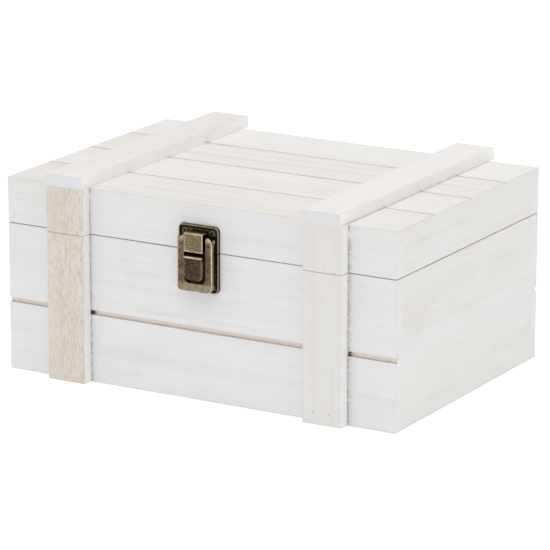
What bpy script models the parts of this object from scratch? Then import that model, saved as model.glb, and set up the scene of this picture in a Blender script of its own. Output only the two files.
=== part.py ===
"""A small hinged storage box of whitewashed planks, with battens and a brass draw latch.

X runs along the front, Y towards the back and Z up. The origin is on the surface the box stands on,
under the middle of its bottom panel.
"""

import math

import bmesh
import bpy
from mathutils import Matrix, Vector

MM = 0.001  # every size below is a real size in millimetres, kept in metres

# The carcass
BOX_WIDTH = 300.0 * MM
BOX_DEPTH = 205.5 * MM
BODY_HEIGHT = 103.0 * MM
BOARD = 8.0 * MM  # thickness of the front, back and end boards
LOWER_BOARD_HEIGHT = 47.2 * MM
REVEAL = 3.4 * MM  # height of the open groove between the lower and upper boards
REVEAL_DEPTH = 2.2 * MM
LAP = 5.0 * MM  # how far the lower board's tongue rises behind the upper board
BOTTOM_PANEL = 6.0 * MM
ARRIS = 0.4 * MM  # sanded edge of every board
GLUE = 0.3 * MM  # gap kept where two pieces are glued or seated

# The lid
SEAM = 0.5 * MM
LID_RAIL_HEIGHT = 23.6 * MM
TOP_BOARD = 8.0 * MM
TOP_BOARD_COUNT = 4
TOP_ARRIS = 0.9 * MM  # deeper edges that leave V grooves between the top boards

# The battens
BATTEN = 7.8 * MM
BATTEN_WIDTH = 29.2 * MM
BATTEN_INSET = {"left": 36.8 * MM, "right": 35.8 * MM}  # from the box's end to the batten's outer edge
TOP_BATTEN_SHIFT = {"left": -0.9 * MM, "right": -1.8 * MM}  # hand-laid, a little left of the uprights
TOP_BATTEN_OVERHANG = 6.8 * MM  # past the back board

# Brads, the small headless nails
BRAD_RADIUS = 0.6 * MM
BRAD_SET = 0.5 * MM  # how far a brad is driven below the surface
BRAD_BITE = 5.0 * MM  # how far it reaches into the second board
BATTEN_BRAD_HEIGHT = 8.0 * MM
BATTEN_BRAD_OFFSETS = {"left": (3.5 * MM,), "right": (-6.4 * MM, 5.6 * MM)}  # from the batten's centre line
PANEL_BRAD_HEIGHT = 3.6 * MM
PANEL_BRAD_X = 71.0 * MM

# Screws, all alike
SCREW_HEAD_RADIUS = 2.1 * MM
SCREW_HEAD = 0.9 * MM
SCREW_RADIUS = 0.9 * MM
SCREW_COVER = 1.8 * MM  # wood left in front of a screw's tip
PILOT_END = 0.5 * MM  # empty end of a pilot hole past the tip

# Butt hinges on the back
HINGE_X = 75.0 * MM  # from the middle of the box to each hinge's middle
HINGE_WIDTH = 26.0 * MM
HINGE_LEAF_HEIGHT = 12.5 * MM
HINGE_LEAF = 1.0 * MM
BARREL_RADIUS = 2.0 * MM
HINGE_PIN_RADIUS = 0.9 * MM
PIN_CLEARANCE = 0.1 * MM  # between a pin and its bore
KNUCKLE_GAP = 0.3 * MM
KNUCKLE_SHOULDER = 0.1 * MM  # how much longer a knuckle is than the leaf's tab, at each end
BARREL_LIFT = 0.15 * MM  # how far the barrel stands off the leaf's back face
HINGE_SCREW_SPREAD = 8.0 * MM  # from the hinge's middle to each screw
HINGE_SCREW_HEIGHT = 7.6 * MM  # from the seam to each screw

# Draw latch. Its own coordinates are x from its middle, out from the box's front, z from the seam.
LATCH_X = 2.5 * MM
PLATE_WIDTH = 31.0 * MM
PLATE_SEAM = 0.3 * MM
CATCH_TOP = 17.9 * MM
BASE_BOTTOM = -27.8 * MM
PLATE_FLOOR = 0.7 * MM  # sheet thickness
RIM = 1.2 * MM  # how far the rim stands above the floor
RIM_WIDTH = 1.5 * MM
CATCH_CORNER = 3.5 * MM
BASE_CORNER = 4.0 * MM
CATCH_SCREW = (10.5 * MM, 13.2 * MM)
BASE_SCREW = (10.2 * MM, -22.9 * MM)
LEDGE_WIDTH = 11.0 * MM
LEDGE_OUT = 3.0 * MM
LEDGE_BOTTOM, LEDGE_TOP = 10.4 * MM, 12.2 * MM
PAD_WIDTH = 14.8 * MM
PAD_OUT = 10.0 * MM
PAD_TOP, PAD_BOTTOM = -1.8 * MM, -18.5 * MM
EAR = 1.2 * MM
EAR_X = 10.8 * MM  # middle of each ear
EAR_RADIUS = 1.4 * MM
EAR_FOOT = -9.0 * MM  # lowest point of an ear on the base plate
EAR_NECK = 1.5 * MM  # where the ear starts to lean out, above the seam
EAR_CLEARANCE = 0.4 * MM  # between an ear and the catch plate behind it
LEVER_AXIS = (4.6 * MM, 8.6 * MM)  # out, z
HOOK_AXIS = (4.2 * MM, 0.2 * MM)
LEVER_WIDTH = 26.8 * MM
LEVER_OUT = 7.2 * MM
LEVER_SHEET = 0.9 * MM
LEVER_TOP, LEVER_BOTTOM = 11.0 * MM, -26.3 * MM
WINDOW_WIDTH = 16.4 * MM
WINDOW_BOTTOM = -20.8 * MM
LEVER_CLIP = 1.2 * MM  # 45 degree clip of each arm's outer top corner
LEVER_CORNER = 3.5 * MM
FLANGE_BACK = 4.4 * MM  # how near the box the side flanges reach
LUG_BACK = 2.9 * MM
LIP = 1.6 * MM  # finger lip along the lever's lower edge
LIP_HEIGHT = 1.8 * MM
HOOK_WIDTH = 14.4 * MM
HOOK_SHEET = 0.9 * MM
HOOK_FOOT_OUT = 9.0 * MM
HOOK_TOP_OUT = 8.9 * MM
HOOK_TOP = 13.8 * MM
HOOK_BOTTOM = 0.9 * MM
HOOK_BARREL = 1.3 * MM
HOOK_CLEARANCE = 0.35 * MM  # between the hook's flange and the ledge with the lever at rest
RIVET_RADIUS = 0.7 * MM
RIVET_HEAD_RADIUS = 1.1 * MM
RIVET_HEAD = 0.4 * MM

# Finishes: colour, roughness, metallic
WHITEWASH = ((0.84, 0.83, 0.81, 1.0), 0.6, 0.0)
BATTEN_WASH = ((0.82, 0.79, 0.74, 1.0), 0.62, 0.0)
RAW_WOOD = ((0.62, 0.50, 0.38, 1.0), 0.7, 0.0)
ANTIQUE_BRASS = ((0.34, 0.27, 0.15, 1.0), 0.38, 1.0)
DARK_STEEL = ((0.09, 0.08, 0.07, 1.0), 0.45, 1.0)
BRIGHT_STEEL = ((0.55, 0.54, 0.52, 1.0), 0.35, 1.0)

# Places worked out from the sizes above
FRONT = -BOX_DEPTH / 2
BACK = BOX_DEPTH / 2
SEAM_Z = BODY_HEIGHT + SEAM / 2
LID_BOTTOM = BODY_HEIGHT + SEAM
RAIL_TOP = LID_BOTTOM + LID_RAIL_HEIGHT
TOP_BOARD_BOTTOM = RAIL_TOP + GLUE
BOX_TOP = TOP_BOARD_BOTTOM + TOP_BOARD
INNER_WIDTH = BOX_WIDTH - 2 * (BOARD + GLUE)
INNER_DEPTH = BOX_DEPTH - 2 * (BOARD + GLUE)
HINGE_AXIS_Y = BACK + GLUE + BARREL_LIFT + BARREL_RADIUS
PLATE_OUT = GLUE + PLATE_FLOOR
RIM_OUT = PLATE_OUT + RIM
HEAD_SEAT = 0.3 * MM  # gap under a screw's head

SIDES = {"left": -1, "right": 1}


def clear_scene():
    for obj in list(bpy.data.objects):
        bpy.data.objects.remove(obj, do_unlink=True)


def world_place(obj):
    place = Vector(obj.location)
    while obj.parent:
        obj = obj.parent
        place += obj.location
    return place


def pivot(name, place, parent=None):
    """An empty on a joint's axis, which the moving pieces are parented to."""
    obj = bpy.data.objects.new(name, None)
    bpy.context.collection.objects.link(obj)
    obj.empty_display_size = 10 * MM
    obj.location = Vector(place)
    if parent:
        obj.parent = parent
        obj.location = Vector(place) - world_place(parent)
    return obj


def painted(name, finish):
    colour, roughness, metallic = finish
    material = bpy.data.materials.new(name)
    material.use_nodes = True
    shader = material.node_tree.nodes["Principled BSDF"]
    shader.inputs["Base Color"].default_value = colour
    shader.inputs["Roughness"].default_value = roughness
    shader.inputs["Metallic"].default_value = metallic
    return material


def piece(name, shape, origin, finish=None, parent=None):
    """An object from a shape drawn in the box's coordinates, with its own origin at the given point."""
    bmesh.ops.translate(shape, verts=shape.verts, vec=-Vector(origin))
    bmesh.ops.recalc_face_normals(shape, faces=shape.faces)
    mesh = bpy.data.meshes.new(name)
    shape.to_mesh(mesh)
    shape.free()
    obj = bpy.data.objects.new(name, mesh)
    bpy.context.collection.objects.link(obj)
    obj.location = Vector(origin)
    if finish:
        mesh.materials.append(painted(name, finish))
    if parent:
        obj.parent = parent
        obj.location = Vector(origin) - world_place(parent)
    return obj


def prism(outline, axis, start, end):
    """A flat outline carried along an axis. Its points are (y, z) for X, (x, z) for Y and (x, y) for Z."""
    order = {"X": (2, 0, 1), "Y": (0, 2, 1), "Z": (0, 1, 2)}[axis]
    shape = bmesh.new()
    rings = []
    for level in (start, end):
        triples = [(a, b, level) for a, b in outline]
        rings.append([shape.verts.new([triple[i] for i in order]) for triple in triples])
    count = len(outline)
    for i in range(count):
        j = (i + 1) % count
        shape.faces.new((rings[0][i], rings[0][j], rings[1][j], rings[1][i]))
    shape.faces.new(rings[0])
    shape.faces.new(rings[1])
    return shape


def turned(profile, centre, axis, segments=16):
    """A profile of (radius, distance along the axis) turned about the axis through the centre."""
    turn = {"X": Matrix.Rotation(math.pi / 2, 4, "Y"), "Y": Matrix.Rotation(-math.pi / 2, 4, "X")}
    shape = bmesh.new()
    rings = []
    for radius, along in profile:
        angles = [2 * math.pi * k / segments for k in range(segments)]
        rings.append([shape.verts.new((radius * math.cos(a), radius * math.sin(a), along)) for a in angles])
    for low, high in zip(rings, rings[1:]):
        for i in range(segments):
            j = (i + 1) % segments
            shape.faces.new((low[i], low[j], high[j], high[i]))
    shape.faces.new(rings[0])
    shape.faces.new(rings[-1])
    if axis in turn:
        bmesh.ops.transform(shape, matrix=turn[axis], verts=shape.verts)
    bmesh.ops.translate(shape, verts=shape.verts, vec=Vector(centre))
    return shape


def block(low, high):
    outline = [(low[0], low[1]), (high[0], low[1]), (high[0], high[1]), (low[0], high[1])]
    return prism(outline, "Z", low[2], high[2])


def arc(centre, radius, start, end, steps=6):
    """Points of an arc, with its angles in degrees."""
    angles = [math.radians(start + (end - start) * k / steps) for k in range(steps + 1)]
    return [(centre[0] + radius * math.cos(a), centre[1] + radius * math.sin(a)) for a in angles]


def rounded(low, high, bottom=0.0, top=0.0):
    """A rectangle whose two bottom corners and two top corners may be rounded."""
    points = []
    corners = (
        (low[0], low[1], bottom, 180),
        (high[0], low[1], bottom, 270),
        (high[0], high[1], top, 0),
        (low[0], high[1], top, 90),
    )
    for x, z, radius, start in corners:
        if radius:
            inward_x = radius if x == low[0] else -radius
            inward_z = radius if z == low[1] else -radius
            points += arc((x + inward_x, z + inward_z), radius, start, start + 90)
        else:
            points.append((x, z))
    return points


def bevelled(obj, width):
    modifier = obj.modifiers.new("arris", "BEVEL")
    modifier.width = width
    modifier.segments = 1
    modifier.limit_method = "ANGLE"
    return obj


def helper(obj, shape, operation):
    """Cuts a shape out of an object, or joins it on, with a helper that the model leaves out."""
    tool = piece(f"{operation.lower()}_{obj.name}", shape, world_place(obj))
    tool.hide_render = True
    tool.display_type = "WIRE"
    modifier = obj.modifiers.new(operation.lower(), "BOOLEAN")
    modifier.operation = operation
    modifier.solver = "EXACT"
    modifier.object = tool


def cut(obj, shape):
    helper(obj, shape, "DIFFERENCE")


def join(obj, shape):
    helper(obj, shape, "UNION")


def smooth(obj):
    obj.data.shade_smooth()
    obj.data.set_sharp_from_angle(angle=math.radians(35))
    return obj


def board(name, low, high, finish=WHITEWASH, arris=ARRIS, parent=None):
    centre = [(a + b) / 2 for a, b in zip(low, high)]
    return bevelled(piece(name, block(low, high), centre, finish, parent), arris)


def hole(obj, centre, axis, radius, start, end):
    cut(obj, turned([(radius, start), (radius, end)], centre, axis, segments=12))


# Carcass


def lapped_boards(side, direction):
    """The lower and upper boards of the front (direction -1) or the back (direction 1)."""
    face = direction * BOX_DEPTH / 2
    inner = face - direction * BOARD
    step = face - direction * REVEAL_DEPTH
    tongue_top = LOWER_BOARD_HEIGHT + REVEAL + LAP
    lip_bottom = LOWER_BOARD_HEIGHT + REVEAL
    lip_back = step + direction * GLUE
    lower = [
        (face, 0.0),
        (inner, 0.0),
        (inner, tongue_top),
        (step, tongue_top),
        (step, LOWER_BOARD_HEIGHT),
        (face, LOWER_BOARD_HEIGHT),
    ]
    upper = [
        (face, lip_bottom),
        (lip_back, lip_bottom),
        (lip_back, tongue_top + GLUE),
        (inner, tongue_top + GLUE),
        (inner, BODY_HEIGHT),
        (face, BODY_HEIGHT),
    ]
    made = []
    for level, outline in (("lower", lower), ("upper", upper)):
        shape = prism(outline, "X", -BOX_WIDTH / 2, BOX_WIDTH / 2)
        obj = piece(f"{side}_{level}_board", shape, (0, face, outline[0][1]), WHITEWASH)
        made.append(bevelled(obj, ARRIS))
    return made


def end_boards(prefix, bottom, top, parent=None):
    """Left and right boards, set between the front and the back ones."""
    for side, sign in SIDES.items():
        outer = sign * BOX_WIDTH / 2
        low_x, high_x = sorted((outer, outer - sign * BOARD))
        low = (low_x, -INNER_DEPTH / 2, bottom)
        high = (high_x, INNER_DEPTH / 2, top)
        board(prefix.format(side=side), low, high, parent=parent)


def carcass():
    front = lapped_boards("front", -1)
    back = lapped_boards("back", 1)
    end_boards("{side}_end_panel", 0.0, BODY_HEIGHT)
    low = (-INNER_WIDTH / 2, -INNER_DEPTH / 2, 0.0)
    high = (INNER_WIDTH / 2, INNER_DEPTH / 2, BOTTOM_PANEL)
    panel = board("bottom_panel", low, high, RAW_WOOD)
    return front, back, panel


# Lid


def lid_frame(lid):
    rails = {}
    for side, sign in (("front", -1), ("back", 1)):
        outer = sign * BOX_DEPTH / 2
        low_y, high_y = sorted((outer, outer - sign * BOARD))
        low = (-BOX_WIDTH / 2, low_y, LID_BOTTOM)
        high = (BOX_WIDTH / 2, high_y, RAIL_TOP)
        rails[side] = board(f"lid_{side}_rail", low, high, parent=lid)
    end_boards("lid_{side}_rail", LID_BOTTOM, RAIL_TOP, lid)
    return rails


def top_boards(lid):
    width = (BOX_DEPTH - (TOP_BOARD_COUNT - 1) * GLUE) / TOP_BOARD_COUNT
    for i in range(TOP_BOARD_COUNT):
        low_y = FRONT + i * (width + GLUE)
        low = (-BOX_WIDTH / 2, low_y, TOP_BOARD_BOTTOM)
        high = (BOX_WIDTH / 2, low_y + width, BOX_TOP)
        board(f"top_board_{i + 1}", low, high, arris=TOP_ARRIS, parent=lid)


# Battens


def batten_centre(side):
    return SIDES[side] * (BOX_WIDTH / 2 - BATTEN_INSET[side] - BATTEN_WIDTH / 2)


def battens(lid):
    """Each batten: an upright on the body, one on the lid's front, and one across the top."""
    near = FRONT - GLUE
    uprights = {}
    for side in SIDES:
        left = batten_centre(side) - BATTEN_WIDTH / 2
        right = left + BATTEN_WIDTH
        low, high = (left, near - BATTEN, 0.0), (right, near, BODY_HEIGHT)
        uprights[side] = board(f"{side}_front_batten", low, high, BATTEN_WASH)
        low, high = (left, near - BATTEN, LID_BOTTOM), (right, near, BOX_TOP)
        board(f"{side}_lid_batten", low, high, BATTEN_WASH, parent=lid)
        shift = TOP_BATTEN_SHIFT[side]
        low = (left + shift, near - BATTEN, BOX_TOP + GLUE)
        high = (right + shift, BACK + TOP_BATTEN_OVERHANG, BOX_TOP + GLUE + BATTEN)
        board(f"{side}_top_batten", low, high, BATTEN_WASH, parent=lid)
    return uprights


# Brads


def brad(name, head, inward, boards, reach):
    """A headless nail driven along Y from the point where it meets the surface, and the bore around it."""
    bore = BRAD_RADIUS + GLUE
    ends = sorted((head[1] + inward * BRAD_SET, head[1] + inward * reach))
    profile = [(BRAD_RADIUS, 0.0), (BRAD_RADIUS, ends[1] - ends[0])]
    place = (head[0], ends[0], head[2])
    smooth(piece(name, turned(profile, place, "Y", segments=10), place, BRIGHT_STEEL))
    mouth, tip = sorted((-inward * GLUE, inward * (reach + PILOT_END)))
    for obj in boards:
        hole(obj, head, "Y", bore, mouth, tip)


def brads(front, back, panel, uprights):
    for side in SIDES:
        surface = FRONT - GLUE - BATTEN
        for i, offset in enumerate(BATTEN_BRAD_OFFSETS[side]):
            head = (batten_centre(side) + offset, surface, BATTEN_BRAD_HEIGHT)
            reach = BATTEN + GLUE + BRAD_BITE
            brad(f"{side}_batten_brad_{i + 1}", head, 1, (uprights[side], front[0]), reach)
    reach = BOARD + GLUE + BRAD_BITE
    brad("front_panel_brad", (PANEL_BRAD_X, FRONT, PANEL_BRAD_HEIGHT), 1, (front[0], panel), reach)
    for side, sign in SIDES.items():
        head = (sign * PANEL_BRAD_X, BACK, PANEL_BRAD_HEIGHT)
        brad(f"back_{side}_panel_brad", head, -1, (back[0], panel), reach)


# Screws


def screw(name, place, outward, seat, leaf, wood, parent=None):
    """A cross-head screw along Y. Its place is on the wood's face, and its head seats on the metal leaf."""
    length = seat + BOARD - SCREW_COVER
    taper = 3 * SCREW_RADIUS
    profile = [
        (0.25 * SCREW_RADIUS, -length),
        (SCREW_RADIUS, taper - length),
        (SCREW_RADIUS, 0.0),
        (SCREW_HEAD_RADIUS, 0.0),
        (SCREW_HEAD_RADIUS, 0.4 * SCREW_HEAD),
        (0.72 * SCREW_HEAD_RADIUS, SCREW_HEAD),
    ]
    under_head = Vector(place) + Vector((0, outward * seat, 0))
    shape = turned([(r, outward * along) for r, along in profile], under_head, "Y")
    obj = smooth(piece(name, shape, under_head, DARK_STEEL, parent))
    half_slot, slot = 0.62 * SCREW_HEAD_RADIUS, 0.14 * SCREW_HEAD_RADIUS
    floor, above = sorted((outward * 0.45 * SCREW_HEAD, outward * 2 * SCREW_HEAD))
    for wide, tall in ((half_slot, slot), (slot, half_slot)):
        low = (under_head[0] - wide, under_head[1] + floor, under_head[2] - tall)
        high = (under_head[0] + wide, under_head[1] + above, under_head[2] + tall)
        cut(obj, block(low, high))
    bore = SCREW_RADIUS + GLUE
    start, end = sorted((outward * (seat + GLUE), -outward * (BOARD - SCREW_COVER + PILOT_END)))
    for holed in (leaf, wood):
        hole(holed, place, "Y", bore, start, end)


# Hinges


def hinge_leaf(name, x, sign, knuckles, parent):
    """A leaf below (sign -1) or above (sign 1) the seam, with its knuckles as spans along X."""
    near, far = BACK + GLUE, BACK + GLUE + HINGE_LEAF
    clear = sign * (BARREL_RADIUS + KNUCKLE_GAP)
    half = HINGE_WIDTH / 2
    axis = (x, HINGE_AXIS_Y, SEAM_Z)
    edge = [(-half, sign * HINGE_LEAF_HEIGHT), (half, sign * HINGE_LEAF_HEIGHT), (half, clear)]
    for start, end in reversed(knuckles):
        tab = (end - KNUCKLE_SHOULDER, start + KNUCKLE_SHOULDER)
        edge += [(tab[0], clear), (tab[0], 0.0), (tab[1], 0.0), (tab[1], clear)]
    edge.append((-half, clear))
    shape = prism([(x + along, SEAM_Z + z) for along, z in edge], "Y", near, far)
    obj = piece(name, shape, axis, ANTIQUE_BRASS, parent)
    for start, end in knuckles:
        join(obj, turned([(BARREL_RADIUS, start), (BARREL_RADIUS, end)], axis, "X", segments=24))
    bore = HINGE_PIN_RADIUS + PIN_CLEARANCE
    cut(obj, turned([(bore, -half - GLUE), (bore, half + GLUE)], axis, "X", segments=24))
    return obj


def hinges(lid, back_board, lid_rail):
    third = HINGE_WIDTH / 6
    middle = (-third + KNUCKLE_GAP, third - KNUCKLE_GAP)
    outer = ((-HINGE_WIDTH / 2, -third), (third, HINGE_WIDTH / 2))
    seat = GLUE + HINGE_LEAF + HEAD_SEAT
    for side, sign in SIDES.items():
        x = sign * HINGE_X
        below = hinge_leaf(f"{side}_hinge_body_leaf", x, -1, outer, None)
        above = hinge_leaf(f"{side}_hinge_lid_leaf", x, 1, (middle,), lid)
        half = HINGE_WIDTH / 2 + PIN_CLEARANCE
        head = half + RIVET_HEAD
        profile = [
            (BARREL_RADIUS * 0.6, -head),
            (BARREL_RADIUS * 0.75, -half),
            (HINGE_PIN_RADIUS, -half),
            (HINGE_PIN_RADIUS, half),
            (BARREL_RADIUS * 0.75, half),
            (BARREL_RADIUS * 0.6, head),
        ]
        axis = (x, HINGE_AXIS_Y, SEAM_Z)
        smooth(piece(f"{side}_hinge_pin", turned(profile, axis, "X", 24), axis, ANTIQUE_BRASS))
        for i, spread in enumerate((-HINGE_SCREW_SPREAD, HINGE_SCREW_SPREAD)):
            low = (x + spread, BACK, SEAM_Z - HINGE_SCREW_HEIGHT)
            high = (x + spread, BACK, SEAM_Z + HINGE_SCREW_HEIGHT)
            screw(f"{side}_hinge_body_screw_{i + 1}", low, 1, seat, below, back_board)
            screw(f"{side}_hinge_lid_screw_{i + 1}", high, 1, seat, above, lid_rail, lid)


# Latch


def at_latch(x, out, z):
    return (LATCH_X + x, FRONT - out, SEAM_Z + z)


def flat_on_front(outline, out_from, out_to):
    """An outline in the latch's (x, z), from one distance out of the front to another."""
    return prism([(LATCH_X + x, SEAM_Z + z) for x, z in outline], "Y", FRONT - out_from, FRONT - out_to)


def side_on(outline, x_from, x_to):
    """An outline in the latch's (out, z), from one x to another."""
    return prism([(FRONT - out, SEAM_Z + z) for out, z in outline], "X", LATCH_X + x_from, LATCH_X + x_to)


def pressed_plate(name, z_from, z_to, corner, parent=None):
    """A sheet plate with a raised rim on all sides but the one at the seam."""
    half = PLATE_WIDTH / 2
    low, high = sorted((z_from, z_to))
    below = z_to < z_from
    radii = {"bottom" if below else "top": corner}
    outer = rounded((-half, low), (half, high), **radii)
    obj = piece(name, flat_on_front(outer, GLUE, RIM_OUT), at_latch(0, GLUE, z_from), ANTIQUE_BRASS, parent)
    radii = {"bottom" if below else "top": corner - RIM_WIDTH}
    open_low = low + RIM_WIDTH if below else low - RIM_WIDTH
    open_high = high + RIM_WIDTH if below else high - RIM_WIDTH
    inner = rounded((RIM_WIDTH - half, open_low), (half - RIM_WIDTH, open_high), **radii)
    cut(obj, flat_on_front(inner, PLATE_OUT, RIM_OUT + RIM))
    return obj


def catch_plate(lid, rail):
    obj = pressed_plate("catch_plate", PLATE_SEAM, CATCH_TOP, CATCH_CORNER, lid)
    half = LEDGE_WIDTH / 2
    sunk = PLATE_OUT - PLATE_FLOOR / 2
    join(obj, flat_on_front(rounded((-half, LEDGE_BOTTOM), (half, LEDGE_TOP)), sunk, LEDGE_OUT))
    for i, sign in enumerate((-1, 1)):
        place = at_latch(sign * CATCH_SCREW[0], 0, CATCH_SCREW[1])
        screw(f"catch_screw_{i + 1}", place, -1, PLATE_OUT + HEAD_SEAT, obj, rail, lid)


def base_plate(front_board):
    obj = pressed_plate("base_plate", -PLATE_SEAM, BASE_BOTTOM, BASE_CORNER)
    half = PAD_WIDTH / 2
    sunk = PLATE_OUT - PLATE_FLOOR / 2
    pad = rounded((-half, PAD_BOTTOM), (half, PAD_TOP), bottom=BASE_CORNER)
    join(obj, flat_on_front(pad, sunk, PAD_OUT))
    out, z = LEVER_AXIS
    clear = PLATE_OUT + EAR_CLEARANCE
    ear = [(sunk, EAR_FOOT), (out - 2 * EAR_RADIUS, EAR_FOOT), (out - EAR_RADIUS / 2, z - EAR_RADIUS)]
    ear += arc((out, z), EAR_RADIUS, -70, 150, steps=10)
    ear += [(clear, EAR_NECK), (clear, -PLATE_SEAM - GLUE), (sunk, -PLATE_SEAM - GLUE)]
    for sign in (-1, 1):
        start, end = sign * EAR_X - EAR / 2, sign * EAR_X + EAR / 2
        join(obj, side_on(ear, start, end))
    reach = EAR_X + EAR
    bore = RIVET_RADIUS + PIN_CLEARANCE
    cut(obj, turned([(bore, -reach), (bore, reach)], at_latch(0, out, z), "X"))
    for i, sign in enumerate((-1, 1)):
        place = at_latch(sign * BASE_SCREW[0], 0, BASE_SCREW[1])
        screw(f"base_screw_{i + 1}", place, -1, PLATE_OUT + HEAD_SEAT, obj, front_board)


def lever_face():
    """The lever seen from the front: two arms joined by a bar, with clipped tops and round corners."""
    half, window = LEVER_WIDTH / 2, WINDOW_WIDTH / 2
    right = [(window, LEVER_TOP), (window, WINDOW_BOTTOM + BASE_CORNER)]
    right += arc((window - BASE_CORNER, WINDOW_BOTTOM + BASE_CORNER), BASE_CORNER, 0, -90)[1:]
    outside = [(half, LEVER_TOP - LEVER_CLIP), (half - LEVER_CLIP, LEVER_TOP)]
    corner = arc((half - LEVER_CORNER, LEVER_BOTTOM + LEVER_CORNER), LEVER_CORNER, -90, 0)
    loop = corner + outside + right
    return loop + [(-x, z) for x, z in reversed(loop)]


def lever(pivot_lever):
    out, z = LEVER_AXIS
    half, window = LEVER_WIDTH / 2, WINDOW_WIDTH / 2
    inside = LEVER_OUT - LEVER_SHEET
    face = flat_on_front(lever_face(), inside, LEVER_OUT)
    obj = piece("latch_lever", face, at_latch(0, out, z), ANTIQUE_BRASS, pivot_lever)
    top = LEVER_TOP - LEVER_CLIP
    low = LEVER_BOTTOM + LEVER_CORNER
    boss = 1.5 * EAR_RADIUS
    flange = [(inside + LEVER_SHEET / 2, low), (FLANGE_BACK, low), (FLANGE_BACK, z - 2 * boss)]
    flange += [(out - boss, z - boss), (out - boss, top), (inside + LEVER_SHEET / 2, top)]
    lug_low, lug_high = HOOK_AXIS[1] - boss, HOOK_AXIS[1] + boss
    lug = [(inside + LEVER_SHEET / 2, lug_low - boss), (LUG_BACK, lug_low), (LUG_BACK, lug_high)]
    lug += [(inside + LEVER_SHEET / 2, lug_high + boss)]
    for sign in (-1, 1):
        join(obj, side_on(flange, sign * half, sign * (half - LEVER_SHEET)))
        join(obj, side_on(lug, sign * window, sign * (window + LEVER_SHEET)))
    lip_half = half - LEVER_CORNER
    lip = [(-lip_half, LEVER_BOTTOM), (lip_half, LEVER_BOTTOM)]
    lip += [(lip_half, LEVER_BOTTOM + LIP_HEIGHT), (-lip_half, LEVER_BOTTOM + LIP_HEIGHT)]
    join(obj, flat_on_front(lip, inside + LEVER_SHEET / 2, LEVER_OUT + LIP))
    bore = RIVET_RADIUS + PIN_CLEARANCE
    for place in (LEVER_AXIS, HOOK_AXIS):
        cut(obj, turned([(bore, -LEVER_WIDTH), (bore, LEVER_WIDTH)], at_latch(0, *place), "X"))


def hook(pivot_hook):
    """The link that hangs on the catch plate's ledge: a barrel, a sloping face and an inward flange."""
    out, z = HOOK_AXIS
    tip = LEDGE_OUT + HOOK_CLEARANCE
    slope_inner_top = HOOK_TOP_OUT - HOOK_SHEET
    under = HOOK_TOP - HOOK_SHEET
    side = arc((out, z), HOOK_BARREL, 150, 350, steps=12)
    side += [(HOOK_FOOT_OUT, HOOK_BOTTOM), (HOOK_TOP_OUT, under), (HOOK_TOP_OUT - HOOK_SHEET / 2, HOOK_TOP)]
    side += [(tip, HOOK_TOP), (tip, under), (slope_inner_top, under)]
    side += [(HOOK_FOOT_OUT - HOOK_SHEET, HOOK_BOTTOM + HOOK_SHEET), (out, z + HOOK_BARREL)]
    half = HOOK_WIDTH / 2
    place = at_latch(0, out, z)
    obj = piece("latch_hook", side_on(side, -half, half), place, ANTIQUE_BRASS, pivot_hook)
    bore = RIVET_RADIUS + PIN_CLEARANCE
    cut(obj, turned([(bore, -HOOK_WIDTH), (bore, HOOK_WIDTH)], place, "X"))


def rivet(name, place, start, end, parent=None):
    """A headed pin along X between two distances from the latch's middle."""
    profile = [
        (RIVET_HEAD_RADIUS, start - PIN_CLEARANCE - RIVET_HEAD),
        (RIVET_HEAD_RADIUS, start - PIN_CLEARANCE),
        (RIVET_RADIUS, start - PIN_CLEARANCE),
        (RIVET_RADIUS, end + PIN_CLEARANCE),
        (RIVET_HEAD_RADIUS, end + PIN_CLEARANCE),
        (RIVET_HEAD_RADIUS, end + PIN_CLEARANCE + RIVET_HEAD),
    ]
    origin = at_latch(0, *place)
    smooth(piece(name, turned(profile, origin, "X"), origin, ANTIQUE_BRASS, parent))


def latch(lid, front_board, lid_rail):
    pivot_lever = pivot("lever_pivot", at_latch(0, *LEVER_AXIS))
    pivot_hook = pivot("hook_pivot", at_latch(0, *HOOK_AXIS), pivot_lever)
    catch_plate(lid, lid_rail)
    base_plate(front_board)
    lever(pivot_lever)
    hook(pivot_hook)
    inner, outer = EAR_X - EAR / 2, LEVER_WIDTH / 2
    rivet("lever_rivet_left", LEVER_AXIS, -outer, -inner)
    rivet("lever_rivet_right", LEVER_AXIS, inner, outer)
    reach = WINDOW_WIDTH / 2 + LEVER_SHEET
    rivet("hook_rivet", HOOK_AXIS, -reach, reach, pivot_lever)


def main():
    clear_scene()
    lid = pivot("lid_pivot", (0, HINGE_AXIS_Y, SEAM_Z))
    front, back, panel = carcass()
    rails = lid_frame(lid)
    top_boards(lid)
    uprights = battens(lid)
    brads(front, back, panel, uprights)
    hinges(lid, back[1], rails["back"])
    latch(lid, front[1], rails["front"])


main()
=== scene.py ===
import math

import bpy
import numpy as np
from mathutils import Matrix, Vector


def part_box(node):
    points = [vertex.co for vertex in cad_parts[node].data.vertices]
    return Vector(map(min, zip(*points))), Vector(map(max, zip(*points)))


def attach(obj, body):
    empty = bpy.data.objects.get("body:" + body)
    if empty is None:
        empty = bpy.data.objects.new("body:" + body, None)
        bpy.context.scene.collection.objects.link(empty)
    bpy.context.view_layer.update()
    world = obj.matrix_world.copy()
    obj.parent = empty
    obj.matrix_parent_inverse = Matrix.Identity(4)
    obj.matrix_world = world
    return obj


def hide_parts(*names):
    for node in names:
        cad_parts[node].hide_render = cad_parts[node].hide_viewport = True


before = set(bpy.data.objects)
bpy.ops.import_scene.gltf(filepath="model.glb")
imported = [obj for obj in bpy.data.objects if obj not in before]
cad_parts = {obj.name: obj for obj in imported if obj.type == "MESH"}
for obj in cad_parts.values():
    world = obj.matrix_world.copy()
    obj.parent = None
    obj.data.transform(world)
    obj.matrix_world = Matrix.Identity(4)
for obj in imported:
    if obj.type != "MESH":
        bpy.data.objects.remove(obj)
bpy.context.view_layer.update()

mm = 0.001


# Helpers for shapes


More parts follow.
